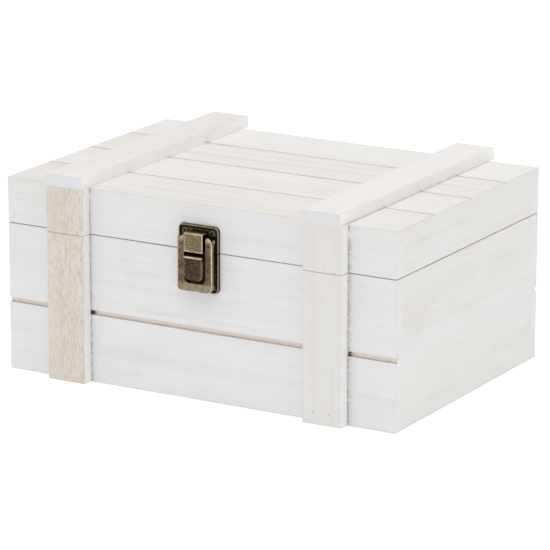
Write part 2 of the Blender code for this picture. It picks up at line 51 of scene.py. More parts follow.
def middleOf(node):
    # The middle of a node's box.
    return (np.array(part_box(node)[0]) + np.array(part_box(node)[1])) / 2


def softNoise(points, size, seed, waves=8):
    # A sum of sine waves in seeded directions, about one wave per `size`, which lies near -1 to 1.
    rng = np.random.default_rng(seed)
    heading = rng.normal(size=(waves, 3))
    heading /= np.linalg.norm(heading, axis=1, keepdims=True)
    rate = 2 * math.pi / size * rng.uniform(0.55, 1.7, waves)
    phase = rng.uniform(0, 2 * math.pi, waves)
    return np.sin(points @ (heading * rate[:, None]).T + phase).sum(axis=1) / math.sqrt(waves)


def joined(*shells):
    # Several (points, faces, marks) shells as one.
    points, faces, start = [], [], 0
    for shellPoints, shellFaces, _ in shells:
        points.append(shellPoints)
        faces += [[start + i for i in face] for face in shellFaces]
        start += len(shellPoints)
    marks = {key: np.concatenate([shell[2][key] for shell in shells]) for key in shells[0][2]}
    return np.concatenate(points), faces, marks


def putPiece(name, skin, body, material, nodes, sharp=38):
    # A skin as one object at the origin, with its marks as float attributes, that stands for its nodes.
    points, faces, marks = skin
    mesh = bpy.data.meshes.new(name)
    mesh.from_pydata(points.tolist(), [], faces)
    for key, values in marks.items():
        layer = mesh.attributes.new(key, "FLOAT", "POINT")
        layer.data.foreach_set("value", np.asarray(values, np.float32))
    mesh.shade_smooth()
    mesh.set_sharp_from_angle(angle=math.radians(sharp))
    mesh.update()
    piece = bpy.data.objects.new(name, mesh)
    bpy.context.collection.objects.link(piece)
    piece.data.materials.append(material)
    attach(piece, body)
    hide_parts(*nodes)
    return piece


def gridQuads(index):
    # The squares of a grid of point numbers, each as its four corners in order.
    return np.stack([index[:-1, :-1], index[1:, :-1], index[1:, 1:], index[:-1, 1:]], axis=-1).reshape(-1, 4)


def sumSigned(points, quads):
    # Six times the volume inside the quads: negative when they face inwards.
    a, b, c, d = (points[quads[:, i]] - points.mean(axis=0) for i in range(4))
    return np.einsum("ij,ij->", a, np.cross(b, c)) + np.einsum("ij,ij->", a, np.cross(c, d))


def ringSkin(rings, wear, recess):
    # Rings of N points joined in order, closed by a flat face at each end, and turned to face out.
    count, around = rings.shape[:2]
    here = np.arange(count - 1)[:, None] * around + np.arange(around)
    beside = np.arange(count - 1)[:, None] * around + (np.arange(around) + 1) % around
    quads = np.stack([here, beside, beside + around, here + around], axis=-1).reshape(-1, 4)
    points = rings.reshape(-1, 3)
    faces = quads.tolist()
    faces += [list(range(around))[::-1], [(count - 1) * around + i for i in range(around)]]
    if sumSigned(points, quads) < 0:
        faces = [face[::-1] for face in faces]
    shape = (count, around)
    marks = {"wear": np.broadcast_to(wear, shape).ravel(), "recess": np.broadcast_to(recess, shape).ravel()}
    return points, faces, marks


def turnedSkin(profile, centre, axis, wear=0.0, recess=0.0, around=40):
    # A profile of (radius, distance along the axis), turned about an axis through the centre.
    turn = np.linspace(0, 2 * math.pi, around, endpoint=False)
    radius, along = np.asarray(profile, float).T
    first, second = radius[:, None] * np.cos(turn), radius[:, None] * np.sin(turn)
    level = np.broadcast_to(along[:, None], first.shape)
    order = {"x": (level, first, second), "y": (first, level, second), "z": (first, second, level)}[axis]
    rings = np.stack(order, axis=-1) + np.asarray(centre, float)
    column = [np.asarray(m, float)[:, None] if np.ndim(m) else m for m in (wear, recess)]
    return ringSkin(rings, *column)


def bothEnds(line, low, high):
    # Half of a turned profile, and the same again mirrored, so that it runs from low to high.
    return line + [(radius, low + high - along) for radius, along in line[::-1]]


def rounded(corners, radii, step=0.35 * mm, unit=mm):
    # A closed outline with each corner replaced by an arc that touches both of its sides.
    corners, radii = unit * np.asarray(corners, float), unit * np.asarray(radii, float)
    line = []
    for i, corner in enumerate(corners):
        before, after = corners[i - 1] - corner, corners[(i + 1) % len(corners)] - corner
        one, two = before / np.linalg.norm(before), after / np.linalg.norm(after)
        half = math.acos(np.clip(one @ two, -1, 1)) / 2
        reach = min(radii[i] / math.tan(half), 0.49 * np.linalg.norm(before), 0.49 * np.linalg.norm(after))
        start, end = corner + one * reach, corner + two * reach
        t = np.linspace(0, 1, 7)[:, None]
        weight = 1 / max(math.sin(half), 0.2)
        arc = (1 - t) ** 2 * start + 2 * t * (1 - t) * corner / weight + t**2 * end
        arc /= (1 - t) ** 2 + 2 * t * (1 - t) / weight + t**2
        line.append(arc)
    filled = []
    for i, arc in enumerate(line):
        following = line[(i + 1) % len(line)][0]
        count = max(1, int(np.linalg.norm(following - arc[-1]) / step))
        share = np.linspace(0, 1, count, endpoint=False)[1:, None]
        filled += [arc, arc[-1] + (following - arc[-1]) * share]
    return np.concatenate(filled)


def outlineBend(outline, spread=2):
    # How sharply a closed outline turns at each point: above 0 at outer corners, below 0 at inner ones.
    before, after = outline - np.roll(outline, 1, axis=0), np.roll(outline, -1, axis=0) - outline
    turn = np.arctan2(before[:, 0] * after[:, 1] - before[:, 1] * after[:, 0], (before * after).sum(axis=1))
    turn *= np.sign(turn.sum())
    bend = turn / (np.linalg.norm(before, axis=1) + np.linalg.norm(after, axis=1) + 1e-9) * 0.5 * mm
    for _ in range(spread):
        bend = (np.roll(bend, 1) + 2 * bend + np.roll(bend, -1)) / 4
    return np.clip(bend * 4, -1, 1)


def sheetSkin(outline, place, low, high, edge, inner=0.9 * mm):
    # A closed outline carried straight from low to high, drawn in along its normals near both ends
    # so that the two end faces have round edges. `place` puts (along, u, v) into space.
    tangent = np.roll(outline, -1, axis=0) - np.roll(outline, 1, axis=0)
    normal = np.stack([tangent[:, 1], -tangent[:, 0]], axis=1) / np.linalg.norm(tangent, axis=1)[:, None]
    area = (outline[:, 0] * np.roll(outline[:, 1], -1) - outline[:, 1] * np.roll(outline[:, 0], -1)).sum()
    normal *= np.sign(area)
    turn = np.linspace(0, math.pi / 2, 5)
    depth = np.concatenate([[0], edge * (1 - np.cos(turn)), [inner, 2 * inner]])
    drawn = np.concatenate([[1.6 * edge], edge * (1 - np.sin(turn)), [0, 0]])
    along = np.concatenate([low + depth, (high - depth)[::-1]])
    inset = np.concatenate([drawn, drawn[::-1]])
    flat = outline[None] - normal[None] * inset[:, None, None]
    level = np.broadcast_to(along[:, None], flat.shape[:2])
    bend = outlineBend(outline)
    ends = np.concatenate([[0.1], np.full(5, 1.0), [0.25, 0]])
    ends = np.concatenate([ends, ends[::-1]])[:, None]
    wear = np.maximum(ends, np.clip(bend, 0, 1)[None])
    return ringSkin(place(level, flat[..., 0], flat[..., 1]), wear, np.clip(-bend, 0, 1)[None] * 0.6)


def averaged(field, reach):
    # The mean over a square window, taken along one axis and then the other.
    for axis in (0, 1):
        padded = np.pad(field, [(reach, reach) if a == axis else (0, 0) for a in (0, 1)], mode="edge")
        places = np.arange(field.shape[axis])
        parts = [np.take(padded, places + k, axis=axis) for k in range(2 * reach + 1)]
        field = sum(parts) / len(parts)
    return field


def blockRise(x, z, block):
    # How high a raised block stands at each point. d is the distance inside its round-cornered
    # outline: it climbs over `slope` outside the outline, then follows a quarter circle of `edge`.
    keys = ("low", "high", "radius", "top", "slope", "edge")
    low, high, radius, top, slope, edge = (mm * np.asarray(block[key], float) for key in keys)
    centre, half = (np.add(low, high) / 2)[:, None, None], (np.subtract(high, low) / 2)[:, None, None]
    q = np.abs(np.stack([x, z]) - centre) - half + radius
    d = radius - np.linalg.norm(np.maximum(q, 0), axis=0) - np.minimum(q.max(axis=0), 0)
    wall = np.clip(1 + d / slope, 0, 1) * (top - edge)
    dome = edge * np.sqrt(1 - (1 - np.clip(d / edge, 0, 1)) ** 2)
    return np.where(d > -slope, wall + np.where(d > 0, dome, 0), 0)


# Boards

boardLook = {
    "along": 2.4 * mm,  # grid step along the grain
    "across": 4.0 * mm,
    "arris": 0.55 * mm,  # radius of a sanded edge
    "tight": 0.02 * mm,  # radius where two pieces meet
    "band": 1.6 * mm,  # beside an edge, where wear fades out
    "wave": 0.07 * mm,  # how uneven the faces are
    "waveSize": 50 * mm,
    "chip": 0.28 * mm,  # depth of the small chips along an edge
    "chipSize": 6.0 * mm,
    "shadeLines": (0, 0.3, 0.8, 1.6, 3.2),  # grid lines beside painted shade, as shares of its reach
}


def gridLines(low, high, step, edge, extra=()):
    # Places of the grid lines on one axis, closer together at both ends and at the extra places.
    band = boardLook["band"]
    near = np.array([0, edge / 3, 2 * edge / 3, edge, edge + band / 2, edge + band])
    near = near[near < 0.45 * (high - low)]
    count = max(2, int(round((high - low - 2 * near[-1]) / step)) + 1)
    middle = np.linspace(low + near[-1], high - near[-1], count)
    lines = np.unique(np.round(np.concatenate([low + near, middle, high - near, extra]), 7))
    return lines[(lines > low - 1e-7) & (lines < high + 1e-7)]


def paintedShadeAt(points, shadeBands):
    # How much painted shade each point gets. Each band is full at one place on an axis and falls
    # away over its reach, on both sides of the place or only on the side `way` names.
    darkening = np.zeros(len(points))
    for axis, place, reach, strength, way in shadeBands:
        d = points[:, axis] - place
        away = np.where(d * way > -1e-6, np.abs(d), 9 * reach)
        darkening = np.maximum(darkening, strength * np.exp(-away / reach))
    return darkening


def boardSkin(low, high, seed, grain, tight=(), arris=None, extra=None, rough=1.0, shadeBands=()):
    # The outside of a box, as the outer points of a grid. A point within the edge radius of two
    # faces slides round a quarter circle; chips deepen it, and slow waves bend the faces inwards.
    look = boardLook
    edge = arris or look["arris"]
    low, high = np.asarray(low, float), np.asarray(high, float)
    steps = [look["along"] if axis == grain else look["across"] for axis in range(3)]
    extra = {axis: list((extra or {}).get(axis, ())) for axis in range(3)}
    for axis, place, reach, _, way in shadeBands:
        sides = [side for side in (-1, 1) if side * way > -1]
        extra[axis] += [place + side * reach * share for share in look["shadeLines"] for side in sides]
    lines = [gridLines(low[i], high[i], steps[i], edge, extra[i]) for i in range(3)]
    sizes = [len(line) for line in lines]
    index = np.arange(np.prod(sizes)).reshape(sizes)
    quads = []
    for axis in range(3):
        for end in (0, -1):
            sheet = np.take(index, end, axis=axis)
            quad = gridQuads(sheet)
            quads.append(quad if (end == -1) == (axis != 1) else quad[:, ::-1])
    used, faces = np.unique(np.concatenate(quads), return_inverse=True)
    faces = faces.reshape(-1, 4)
    where = np.unravel_index(used, sizes)
    start = np.stack([lines[i][where[i]] for i in range(3)], axis=1)

    gap = {(i, 0): start[:, i] - low[i] for i in range(3)}
    gap.update({(i, 1): high[i] - start[:, i] for i in range(3)})
    on = {side: distance < 2e-7 for side, distance in gap.items()}  # gridLines rounds to 1e-7
    chips = np.clip(softNoise(start, look["chipSize"], seed + 1) - 0.6, 0, 1.2)
    full = edge * (1 + 0.22 * softNoise(start, 5 * look["chipSize"], seed + 2)) + rough * look["chip"] * chips
    shift, wear = np.zeros_like(start), np.zeros(len(start))
    for first in gap:
        for second in gap:
            if first[0] == second[0]:
                continue
            isTight = bool({first, second, tuple(sorted((first, second)))} & set(tight))
            share = np.clip(gap[second] / edge, 0, 1)
            reach = np.minimum(full, look["tight"]) if isTight else full
            turn = math.pi / 4 * (1 - share)
            near = on[first] & (gap[second] < edge + 1e-9)
            weight = np.where(near & on[second], 0.5, 1.0) * near
            amounts = (reach * (1 - np.cos(turn)), (reach * (1 - np.sin(turn)) - share * reach) * (share < 1))
            for plane, amount in zip((first, second), amounts):
                shift[:, plane[0]] += weight * amount * (1 if plane[1] == 0 else -1)
            if not isTight:
                fade = np.clip(1 - (gap[second] - edge * 0.5) / look["band"], 0, 1)
                wear = np.maximum(wear, np.where(on[first], fade, 0))
    wave = look["wave"] * (1 + softNoise(start, look["waveSize"], seed + 3)) / 2
    facing = np.stack([on[(i, 1)].astype(float) - on[(i, 0)] for i in range(3)], axis=1)
    points = start + shift - facing * np.clip(wave, 0, None)[:, None]
    # The third mark is the painted shade of the given bands.
    marks = {"wear": wear, "raw": np.zeros(len(points)), "grime": paintedShadeAt(start, shadeBands)}
    share = np.abs(facing) / np.abs(facing).sum(axis=1, keepdims=True)
    marks.update({f"facing{'XYZ'[i]}": share[:, i] for i in range(3)})
    return points, faces.tolist(), marks


# Materials


class Shader:
    # Short calls for building one material's nodes.
    def __init__(self, name):
        self.material = bpy.data.materials.new(name)
        self.material.use_nodes = True
        self.tree = self.material.node_tree
        self.main = self.tree.nodes["Principled BSDF"]

    def node(self, kind, **settings):
        made = self.tree.nodes.new(kind)
        for key, value in settings.items():
            setattr(made, key, value)
        return made

    def feed(self, socket, value):
        if isinstance(value, (int, float)):
            socket.default_value = value
        elif isinstance(value, tuple):
            socket.default_value = (*value, 1.0)
        else:
            self.tree.links.new(value, socket)

    def place(self, scale=(1, 1, 1), shift=(0, 0, 0), turn=(0, 0, 0)):
        # Object coordinates, stretched per axis.
        mapping = self.node("ShaderNodeMapping")
        mapping.inputs["Scale"].default_value = scale
        mapping.inputs["Location"].default_value = shift
        mapping.inputs["Rotation"].default_value = turn
        self.feed(mapping.inputs["Vector"], self.node("ShaderNodeTexCoord").outputs["Object"])
        return mapping.outputs["Vector"]

    def noise(self, vector, scale=1.0, detail=3.0, roughness=0.55, distortion=0.0):
        made = self.node("ShaderNodeTexNoise")
        for key, value in (("Scale", scale), ("Detail", detail), ("Roughness", roughness)):
            made.inputs[key].default_value = value
        made.inputs["Distortion"].default_value = distortion
        self.feed(made.inputs["Vector"], vector)
        return made.outputs["Fac"]

    def mark(self, name):
        return self.node("ShaderNodeAttribute", attribute_name=name).outputs["Fac"]

    def math(self, operation, a, b=0.0, clamp=False):
        made = self.node("ShaderNodeMath", operation=operation, use_clamp=clamp)
        self.feed(made.inputs[0], a)
        self.feed(made.inputs[1], b)
        return made.outputs[0]

    def times(self, a, b, clamp=False):
        return self.math("MULTIPLY", a, b, clamp)

    def plus(self, a, b, clamp=False):
        return self.math("ADD", a, b, clamp)

    def spread(self, value, low, high, toLow=0.0, toHigh=1.0):
        # Stretches a value from one range to another, and holds it there.
        made = self.node("ShaderNodeMapRange")
        self.feed(made.inputs["Value"], value)
        for key, number in zip(("From Min", "From Max", "To Min", "To Max"), (low, high, toLow, toHigh)):
            made.inputs[key].default_value = number
        return made.outputs["Result"]

    def mix(self, share, first, second):
        made = self.node("ShaderNodeMix", data_type="RGBA")
        sockets = [s for s in made.inputs if s.type == "RGBA"]
        for socket, value in ((made.inputs[0], share), (sockets[0], first), (sockets[1], second)):
            self.feed(socket, value)
        return [s for s in made.outputs if s.type == "RGBA"][0]

    def bump(self, height, strength, distance):
        made = self.node("ShaderNodeBump")
        made.inputs["Strength"].default_value = strength
        made.inputs["Distance"].default_value = distance
        self.feed(made.inputs["Height"], height)
        self.feed(self.main.inputs["Normal"], made.outputs["Normal"])

    def finish(self, colour, roughness, metal=0.0):
        self.feed(self.main.inputs["Base Color"], colour)
        self.feed(self.main.inputs["Roughness"], roughness)
        self.main.inputs["Metallic"].default_value = metal
        return self.material

    def openness(self, distance, samples=6):
        # 1 in the open, 0 where another face is close by.
        made = self.node("ShaderNodeAmbientOcclusion", samples=samples)
        made.inputs["Distance"].default_value = distance
        return made.outputs["AO"]


washLook = {
    "paint": (0.80, 0.805, 0.81),
    "thinPaint": (0.80, 0.765, 0.725),
    "woodLight": (0.66, 0.54, 0.41),
    "woodDark": (0.43, 0.31, 0.21),
    "grooveWood": (0.86, 0.77, 0.69),
    # the colour of the painted shade, and of the grey on bare wood
    "darkening": (0.11, 0.08, 0.058),
    "shadeReach": 1.4 * mm,
    "roughness": (0.52, 0.74),
}


def whitewash(name, grain, seed, paint=None, streaks=0.12, warmth=0.2, edgeWear=0.35, ticks=0.3,
              tickShare=0.64, tickFine=1700, darkening=0.6, fleck=False, tints=()):
    # Thin white paint over pale wood. `grain` is the axis the fibres run along: 0, 1, 2, or "level"
    # for pieces whose fibres run level on every upright face. Each of the `tints` is the quieter
    # paint of the faces across one axis; on the battens the tints are painted light. Painted shade
    # darkens the colour where other faces are close and along the marked shade bands.
    s = Shader(name)
    look = washLook
    shift = (seed * 1.7, seed * 2.3, seed * 3.1)

    def fibres(long, fine, **settings):
        stretch = [fine, fine, fine]
        for axis in ((0, 1) if grain == "level" else (grain,)):
            stretch[axis] = long
        return s.noise(s.place(tuple(stretch), shift), **settings)

    fibre = fibres(11, 900, detail=4.0, roughness=0.7)
    hair = fibres(30, 2200, detail=2.0)
    band = fibres(5.5, 150, detail=4.0, distortion=0.5)
    broad = fibres(3.2, 42, detail=3.0, distortion=0.8)
    patch = s.noise(s.place((1, 1, 1), shift), scale=22.0, detail=3.0)
    pores = fibres(tickFine / (7 if fleck else 12), tickFine, detail=1.0)
    wear, raw = s.mark("wear"), s.mark("raw")

    woodShare = s.plus(s.spread(band, 0.35, 0.68, 0, 0.6), s.spread(fibre, 0.4, 0.75, 0, 0.5))
    wood = s.mix(woodShare, look["woodLight"], look["woodDark"])
    white = s.mix(s.spread(broad, 0.34, 0.70, 0, warmth * 2), paint or look["paint"], look["thinPaint"])
    loud = 1.0
    for axis, tint in tints:
        facing = s.mark(f"facing{axis}")
        white = s.mix(facing, white, tint)
        loud = s.times(loud, s.spread(facing, 0, 1, 1, 0.3))

    bands = s.spread(band, 0.44, 0.74, 0, streaks * (0.45 if fleck else 1.0))
    thin = s.plus(bands, s.spread(fibre, 0.48, 0.8, 0, streaks))
    thin = s.plus(thin, s.spread(patch, 0.52, 0.8, 0, 0.10))
    tickPlace = s.spread(broad, 0.4, 0.62, 0.55 if fleck else 0.1, 1.0)
    tick = s.times(s.spread(pores, tickShare, tickShare + 0.14, 0, ticks), tickPlace)
    thin, tick = s.times(thin, loud), s.times(tick, loud)
    worn = s.times(s.math("POWER", wear, 2.0), s.spread(patch, 0.36, 0.62, 0.1, edgeWear))
    covered = s.math("SUBTRACT", 1.0, s.plus(thin, worn), clamp=True)
    colour = s.mix(covered, wood, white)
    colour = s.mix(s.times(raw, s.spread(fibre, 0.3, 0.7, 1.0, 0.6)), colour, look["grooveWood"])
    colour = s.mix(tick, colour, look["woodDark"])
    # Painted shade: the colour darkens where another face is close by, in corners and where pieces meet, and
    # along the marked bands beside battens, grooves and gaps. Bare wood in the groove gets less of it.
    ragged = s.spread(s.noise(s.place(), scale=520.0, detail=4.0), 0.36, 0.62, 0.3, 1.0)
    tight = s.spread(s.openness(look["shadeReach"]), 0.12, 0.60, darkening, 0.0)
    tight = s.times(tight, s.math("SUBTRACT", 1.0, s.times(raw, 0.7)))
    tight = s.times(s.math("MAXIMUM", tight, s.mark("grime")), ragged, clamp=True)
    colour = s.mix(tight, colour, look["darkening"])
    relief = s.plus(s.times(fibre, 0.6), s.times(hair, 0.4))
    s.bump(s.math("SUBTRACT", relief, tick), 0.35, 0.25 * mm)
    low, high = look["roughness"]
    s.main.inputs["Specular IOR Level"].default_value = 0.3
    return s.finish(colour, s.spread(covered, 0, 1, high, low))


brassLook = {
    "polished": (0.90, 0.76, 0.50),
    "deep": (0.012, 0.009, 0.007),
    "roughness": (0.30, 0.55),
}


def antiqueBrass(name, seed, dull, patina, darkness=0.0, polish=1.0):
    # Brass blackened and rubbed back: black in the recesses, black as painted shade where other faces come
    # close, mottled from dull to patina on the faces, bright on the edges.
    s = Shader(name)
    look = brassLook
    shift = (seed, seed * 2.0, seed * 3.0)
    grit = s.noise(s.place((1, 1, 1), shift), scale=950.0, detail=4.0, roughness=0.8)
    cloud = s.noise(s.place((1, 1, 1), shift), scale=330.0, detail=3.0)
    brush = s.noise(s.place((2600, 2600, 300), shift), detail=2.0)
    wear, recess = s.mark("wear"), s.mark("recess")
    face = s.mix(s.spread(grit, 0.42, 0.60), dull, patina)
    face = s.mix(s.spread(cloud, 0.44, 0.70, 0.0, 0.5), face, patina)
    rubbed = s.times(s.math("POWER", wear, 1.5), s.spread(cloud, 0.3, 0.62, 0.6, 1.0))
    rubbed = s.times(rubbed, polish)
    rubbed = s.plus(rubbed, s.spread(grit, 0.58, 0.78, 0, 0.35), clamp=True)
    face = s.mix(rubbed, face, look["polished"])
    # Painted shade: black where another face is within 3 mm, as under the lever and around the hook and pad,
    # on top of the patina in the hollows.
    closeShade = s.spread(s.openness(3.0 * mm), 0.12, 0.55, 1.0, 0.0)
    darkening = s.math("MAXIMUM", s.times(recess, s.spread(grit, 0.3, 0.7, 1.0, 0.7)), closeShade)
    colour = s.mix(s.plus(darkening, darkness, clamp=True), face, look["deep"])
    s.bump(s.plus(grit, s.times(brush, 0.25)), 0.35, 0.09 * mm)
    return s.finish(colour, s.spread(grit, 0.3, 0.7, *look["roughness"]), metal=1.0)


def smallSteel(name, seed, colour, roughness):
    # Screws and nails: a dull skin with darker spots and lighter rubbed edges.
    s = Shader(name)
    grit = s.noise(s.place((1, 1, 1), (seed, seed, seed)), scale=1800.0, detail=3.0)
    spots = s.noise(s.place((1, 1, 1), (seed, 0, seed)), scale=420.0, detail=2.0)
    dull = s.mix(s.spread(spots, 0.35, 0.65), colour, tuple(0.45 * c for c in colour))
    bright = tuple(min(1.0, 2.6 * c + 0.05) for c in colour)
    rubbed = s.times(s.mark("wear"), s.spread(grit, 0.35, 0.6, 0.2, 0.8), clamp=True)
    lit = s.mix(rubbed, dull, bright)
    s.bump(grit, 0.2, 0.05 * mm)
    colour = s.mix(s.mark("recess"), lit, (0.01, 0.009, 0.008))
    return s.finish(colour, s.spread(grit, 0.3, 0.7, roughness - 0.08, roughness + 0.12), metal=1.0)


def rawSheet(name):
    # The bottom's sanded sheet: pale brown wood with long fibres and small dark pores.
    s = Shader(name)
    fibre = s.noise(s.place((9, 520, 520)), detail=4.0, roughness=0.65)
    band = s.noise(s.place((4, 60, 60)), detail=3.0, distortion=0.8)
    share = s.plus(s.spread(fibre, 0.35, 0.7, 0, 0.6), s.spread(band, 0.35, 0.7, 0, 0.5), clamp=True)
    s.bump(fibre, 0.3, 0.2 * mm)
    colour = s.mix(share, (0.62, 0.49, 0.35), (0.38, 0.27, 0.17))
    return s.finish(colour, s.spread(fibre, 0.3, 0.7, 0.62, 0.8))


# The body's and the lid's boards

glue = 0.3 * mm  # the frame's glue gap
meet = 0.45 * mm  # how far a painted joint is closed, a little into its neighbour
seamClose = {"board": 0.08 * mm, "batten": 0.21 * mm}  # how far each side reaches into the seam
x0, x1, y0, y1, z0, z1 = (0, 0), (0, 1), (1, 0), (1, 1), (2, 0), (2, 1)  # the six sides of a board


def grown(node, *sides):
    # A node's box, with the named sides moved out to close the glue gap.
    corners = [np.array(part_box(node)[0]), np.array(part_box(node)[1])]
    for axis, end in sides:
        corners[end][axis] += meet if end else -meet
    return corners


lapLook = {
    "reveal": 3.4 * mm,  # height of the groove
    "depth": 1.97 * mm,  # from the face to the groove's bottom
    "lip": 1.9 * mm,  # thickness of the upper board where it laps over
    "round": 0.35 * mm,  # edge beside the groove
    "past": 0.02 * mm,  # how far above the step the groove's bottom starts
    "stepShade": (0.3 * mm, 0.5),  # reach and strength of the painted shade in the groove's lower corner
    "footShade": (0.5 * mm, 0.9),  # painted shade under the upper board's foot
    "uprightShade": (1.5 * mm, 3.5),  # painted shade where the groove leaves an upright
}


# Painted shadow beside each upright: a dark line where it meets the boards, a wider grey band on its right
# and a faint line on its left.
uprightShade = {
    # reach, strength at the left and at the right upright, and 1 for its right side or -1 for its left
    "line": (0.8 * mm, (0.95, 1.0), 1),
    "wideBand": (2.2 * mm, (0.25, 0.55), 1),
    "farLine": (0.5 * mm, (0.3, 0.3), -1),
}


def uprightShadeBands():
    # Painted shade along both sides of each upright batten, as bands for the shade function.
    shadeBands = []
    for number, side in enumerate(("left", "right")):
        low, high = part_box(f"{side}_front_batten")
        for reach, strength, way in uprightShade.values():
            shadeBands.append((0, high.x if way > 0 else low.x, reach, strength[number], way))
    return shadeBands


def lappedSkin(node, seed):
    # A front or back board, whose cross-section steps at the lap: y is squeezed between the two
    # faces that hold at that height, and the lower board's outer edge follows a quarter circle.
    low, high = grown(node)
    high[2] += 0.95 * glue if "lower" in node else seamClose["board"]
    front = low[1] < 0
    face, back = (low[1], high[1]) if front else (high[1], low[1])
    inwards = np.sign(back - face)
    lower = "lower" in node
    look = lapLook
    if lower:
        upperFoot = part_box(node.replace("lower", "upper"))[0].z
        step = upperFoot - look["reveal"]
        turn = np.array([0.0, 0.35, 0.7, 0.9, 1.0])
        groove = [step + up * mm for up in (0.05, 0.4, 1)]
        groove += [upperFoot - down * mm for down in (1, 0.4, 0)]
        extra = {2: np.concatenate([step - look["round"] * (1 - turn), groove])}
    else:
        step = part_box(node.replace("upper", "lower"))[1].z + glue
        extra = {2: np.array([step - 0.03 * mm, step + 0.03 * mm])}
    inner = y1 if front else y0
    tight = [tuple(sorted((side, inner))) for side in (x0, x1, z0)]
    shadeBands = uprightShadeBands() if front else ()
    points, faces, marks = boardSkin(low, high, seed, 0, tight=tight, extra=extra, rough=0.6, shadeBands=shadeBands)
    z = points[:, 2]
    share = (points[:, 1] - face) / (back - face)
    isOutside = share < 0.5
    marks["grime"] *= isOutside  # the painted shade stays off the inside
    if lower:
        above = z > step + look["past"]
        rise = np.clip((z - (step - look["round"])) / look["round"], 0, 1)
        sunk = np.where(above, look["depth"], look["round"] * (1 - np.sqrt(1 - rise**2)))
        points[:, 1] = face + inwards * sunk + (back - face - inwards * sunk) * share
        marks["raw"] = (above & (share < 0.6)).astype(float)
        beside = np.clip(1 - (step - z) / boardLook["band"], 0, 1) * (share < 0.3) * ~above
        marks["wear"] = np.maximum(marks["wear"] * (z < step), 0.5 * beside)
        # Painted shade in the groove: in its lower corner, under the upper board's lip and beside each
        # upright.
        shadeBands = [(2, step, *look["stepShade"], 1), (2, upperFoot, *look["footShade"], -1)]
        for side in ("left", "right") if front else ():
            shadeBands.append((0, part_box(f"{side}_front_batten")[1].x, *look["uprightShade"], 1))
        marks["grime"] = np.where(above & isOutside, paintedShadeAt(points, shadeBands), marks["grime"])
    else:
        under = z < step
        points[:, 1] = np.where(under, face + inwards * look["lip"] * share, points[:, 1])
        marks["raw"] = (under & (share > 0.5)).astype(float)
    for key in ("raw", "grime"):  # the boards' ends are painted over, with no bare wood and no painted shade
        marks[key] = marks[key] * (1 - marks["facingX"])
    return points, faces, marks


cornerTint = [("X", (0.785, 0.78, 0.77))]
frontWash = whitewash("frontWash", "level", 1, streaks=0.08, warmth=0.04, edgeWear=0.04, ticks=0.12,
                      tickFine=1000, tints=cornerTint)
lidWash = whitewash("lidWash", "level", 4, streaks=0.08, warmth=0.05, edgeWear=0.04, ticks=0.12,
                    tickFine=1000, tints=cornerTint)
endWash = whitewash("endWash", "level", 3, streaks=0.10, warmth=0.16, edgeWear=0.04, ticks=0.15,
                    paint=(0.785, 0.78, 0.77))
backWash = whitewash("backWash", "level", 2, streaks=0.10, warmth=0.10, edgeWear=0.10, ticks=0.12,
                     tints=cornerTint)

lappedBoards = {
    # node: material, seed
    "front_lower_board": (frontWash, 11),
    "front_upper_board": (frontWash, 12),
    "back_lower_board": (backWash, 13),
    "back_upper_board": (backWash, 14),
}
for node, (material, seed) in lappedBoards.items():
    putPiece(f"{node}_skin", lappedSkin(node, seed), "box", material, [node])

endPanels = {"left_end_panel": 21, "right_end_panel": 22, "lid_left_rail": 23, "lid_right_rail": 24}  # seeds
for node, seed in endPanels.items():
    body, sides = ("lid", (y0, y1, z1)) if "lid" in node else ("box", (y0, y1))
    low, high = grown(node, *sides)
    if body == "lid":
        low[2] -= seamClose["board"]
    else:
        high[2] += seamClose["board"]
    skin = boardSkin(low, high, seed, 1, tight=sides, rough=0.6)
    putPiece(f"{node}_skin", skin, body, endWash, [node])

for node, seed in (("lid_front_rail", 31), ("lid_back_rail", 32)):
    front = "front" in node
    tight = [z1] + [tuple(sorted((side, y1 if front else y0))) for side in (x0, x1, z0)]
    low, high = grown(node, z1)
    low[2] -= seamClose["board"]
    skin = boardSkin(low, high, seed, 0, tight=tight, rough=0.6, shadeBands=uprightShadeBands() if front else ())
    skin[2]["grime"] *= skin[0][:, 1] < (low[1] + high[1]) / 2  # the painted shade stays off the inside
    putPiece(f"{node}_skin", skin, "lid", lidWash if front else backWash, [node])

topWashes = [
    {"streaks": 0.20, "warmth": 0.34, "edgeWear": 0.24, "ticks": 0.25, "paint": (0.84, 0.815, 0.785)},
    {"streaks": 0.14, "warmth": 0.24, "edgeWear": 0.2, "ticks": 0.15, "paint": (0.86, 0.84, 0.82)},
    {"streaks": 0.18, "warmth": 0.30, "edgeWear": 0.2, "ticks": 0.2, "paint": (0.86, 0.835, 0.81)},
    {"streaks": 0.08, "warmth": 0.10, "edgeWear": 0.2, "ticks": 0.1, "paint": (0.87, 0.855, 0.84)},
]
topSides = [("Y", (0.80, 0.80, 0.80)), ("X", (0.775, 0.77, 0.76))]
topLook = {
    "arris": 0.7 * mm,
    "rightShade": (0.4 * mm, 1.3),  # reach and strength of the painted shade beside the right batten, on the first board
    "fade": 0.2,  # how much weaker it is on each next board
    # painted shade beside the left batten and along the gaps between boards
    "leftShade": (0.35 * mm, 0.05),
    "gapShade": (0.8 * mm, 0.5),
    "crossShade": (1.3 * mm, 1.5 * mm, 1.6),  # painted shade in a gap beside a batten: reach along and across it, strength
    "closing": 0.5 * mm,  # how far from the lid's ends paint fills the gaps
}
besideRight, besideLeft = (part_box(f"{side}_top_batten")[1].x for side in ("right", "left"))
halfGap = (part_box("top_board_2")[0].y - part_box("top_board_1")[1].y) / 2
topCorners = [tuple(sorted((x, y))) for x in (x0, x1) for y in (y0, y1)]
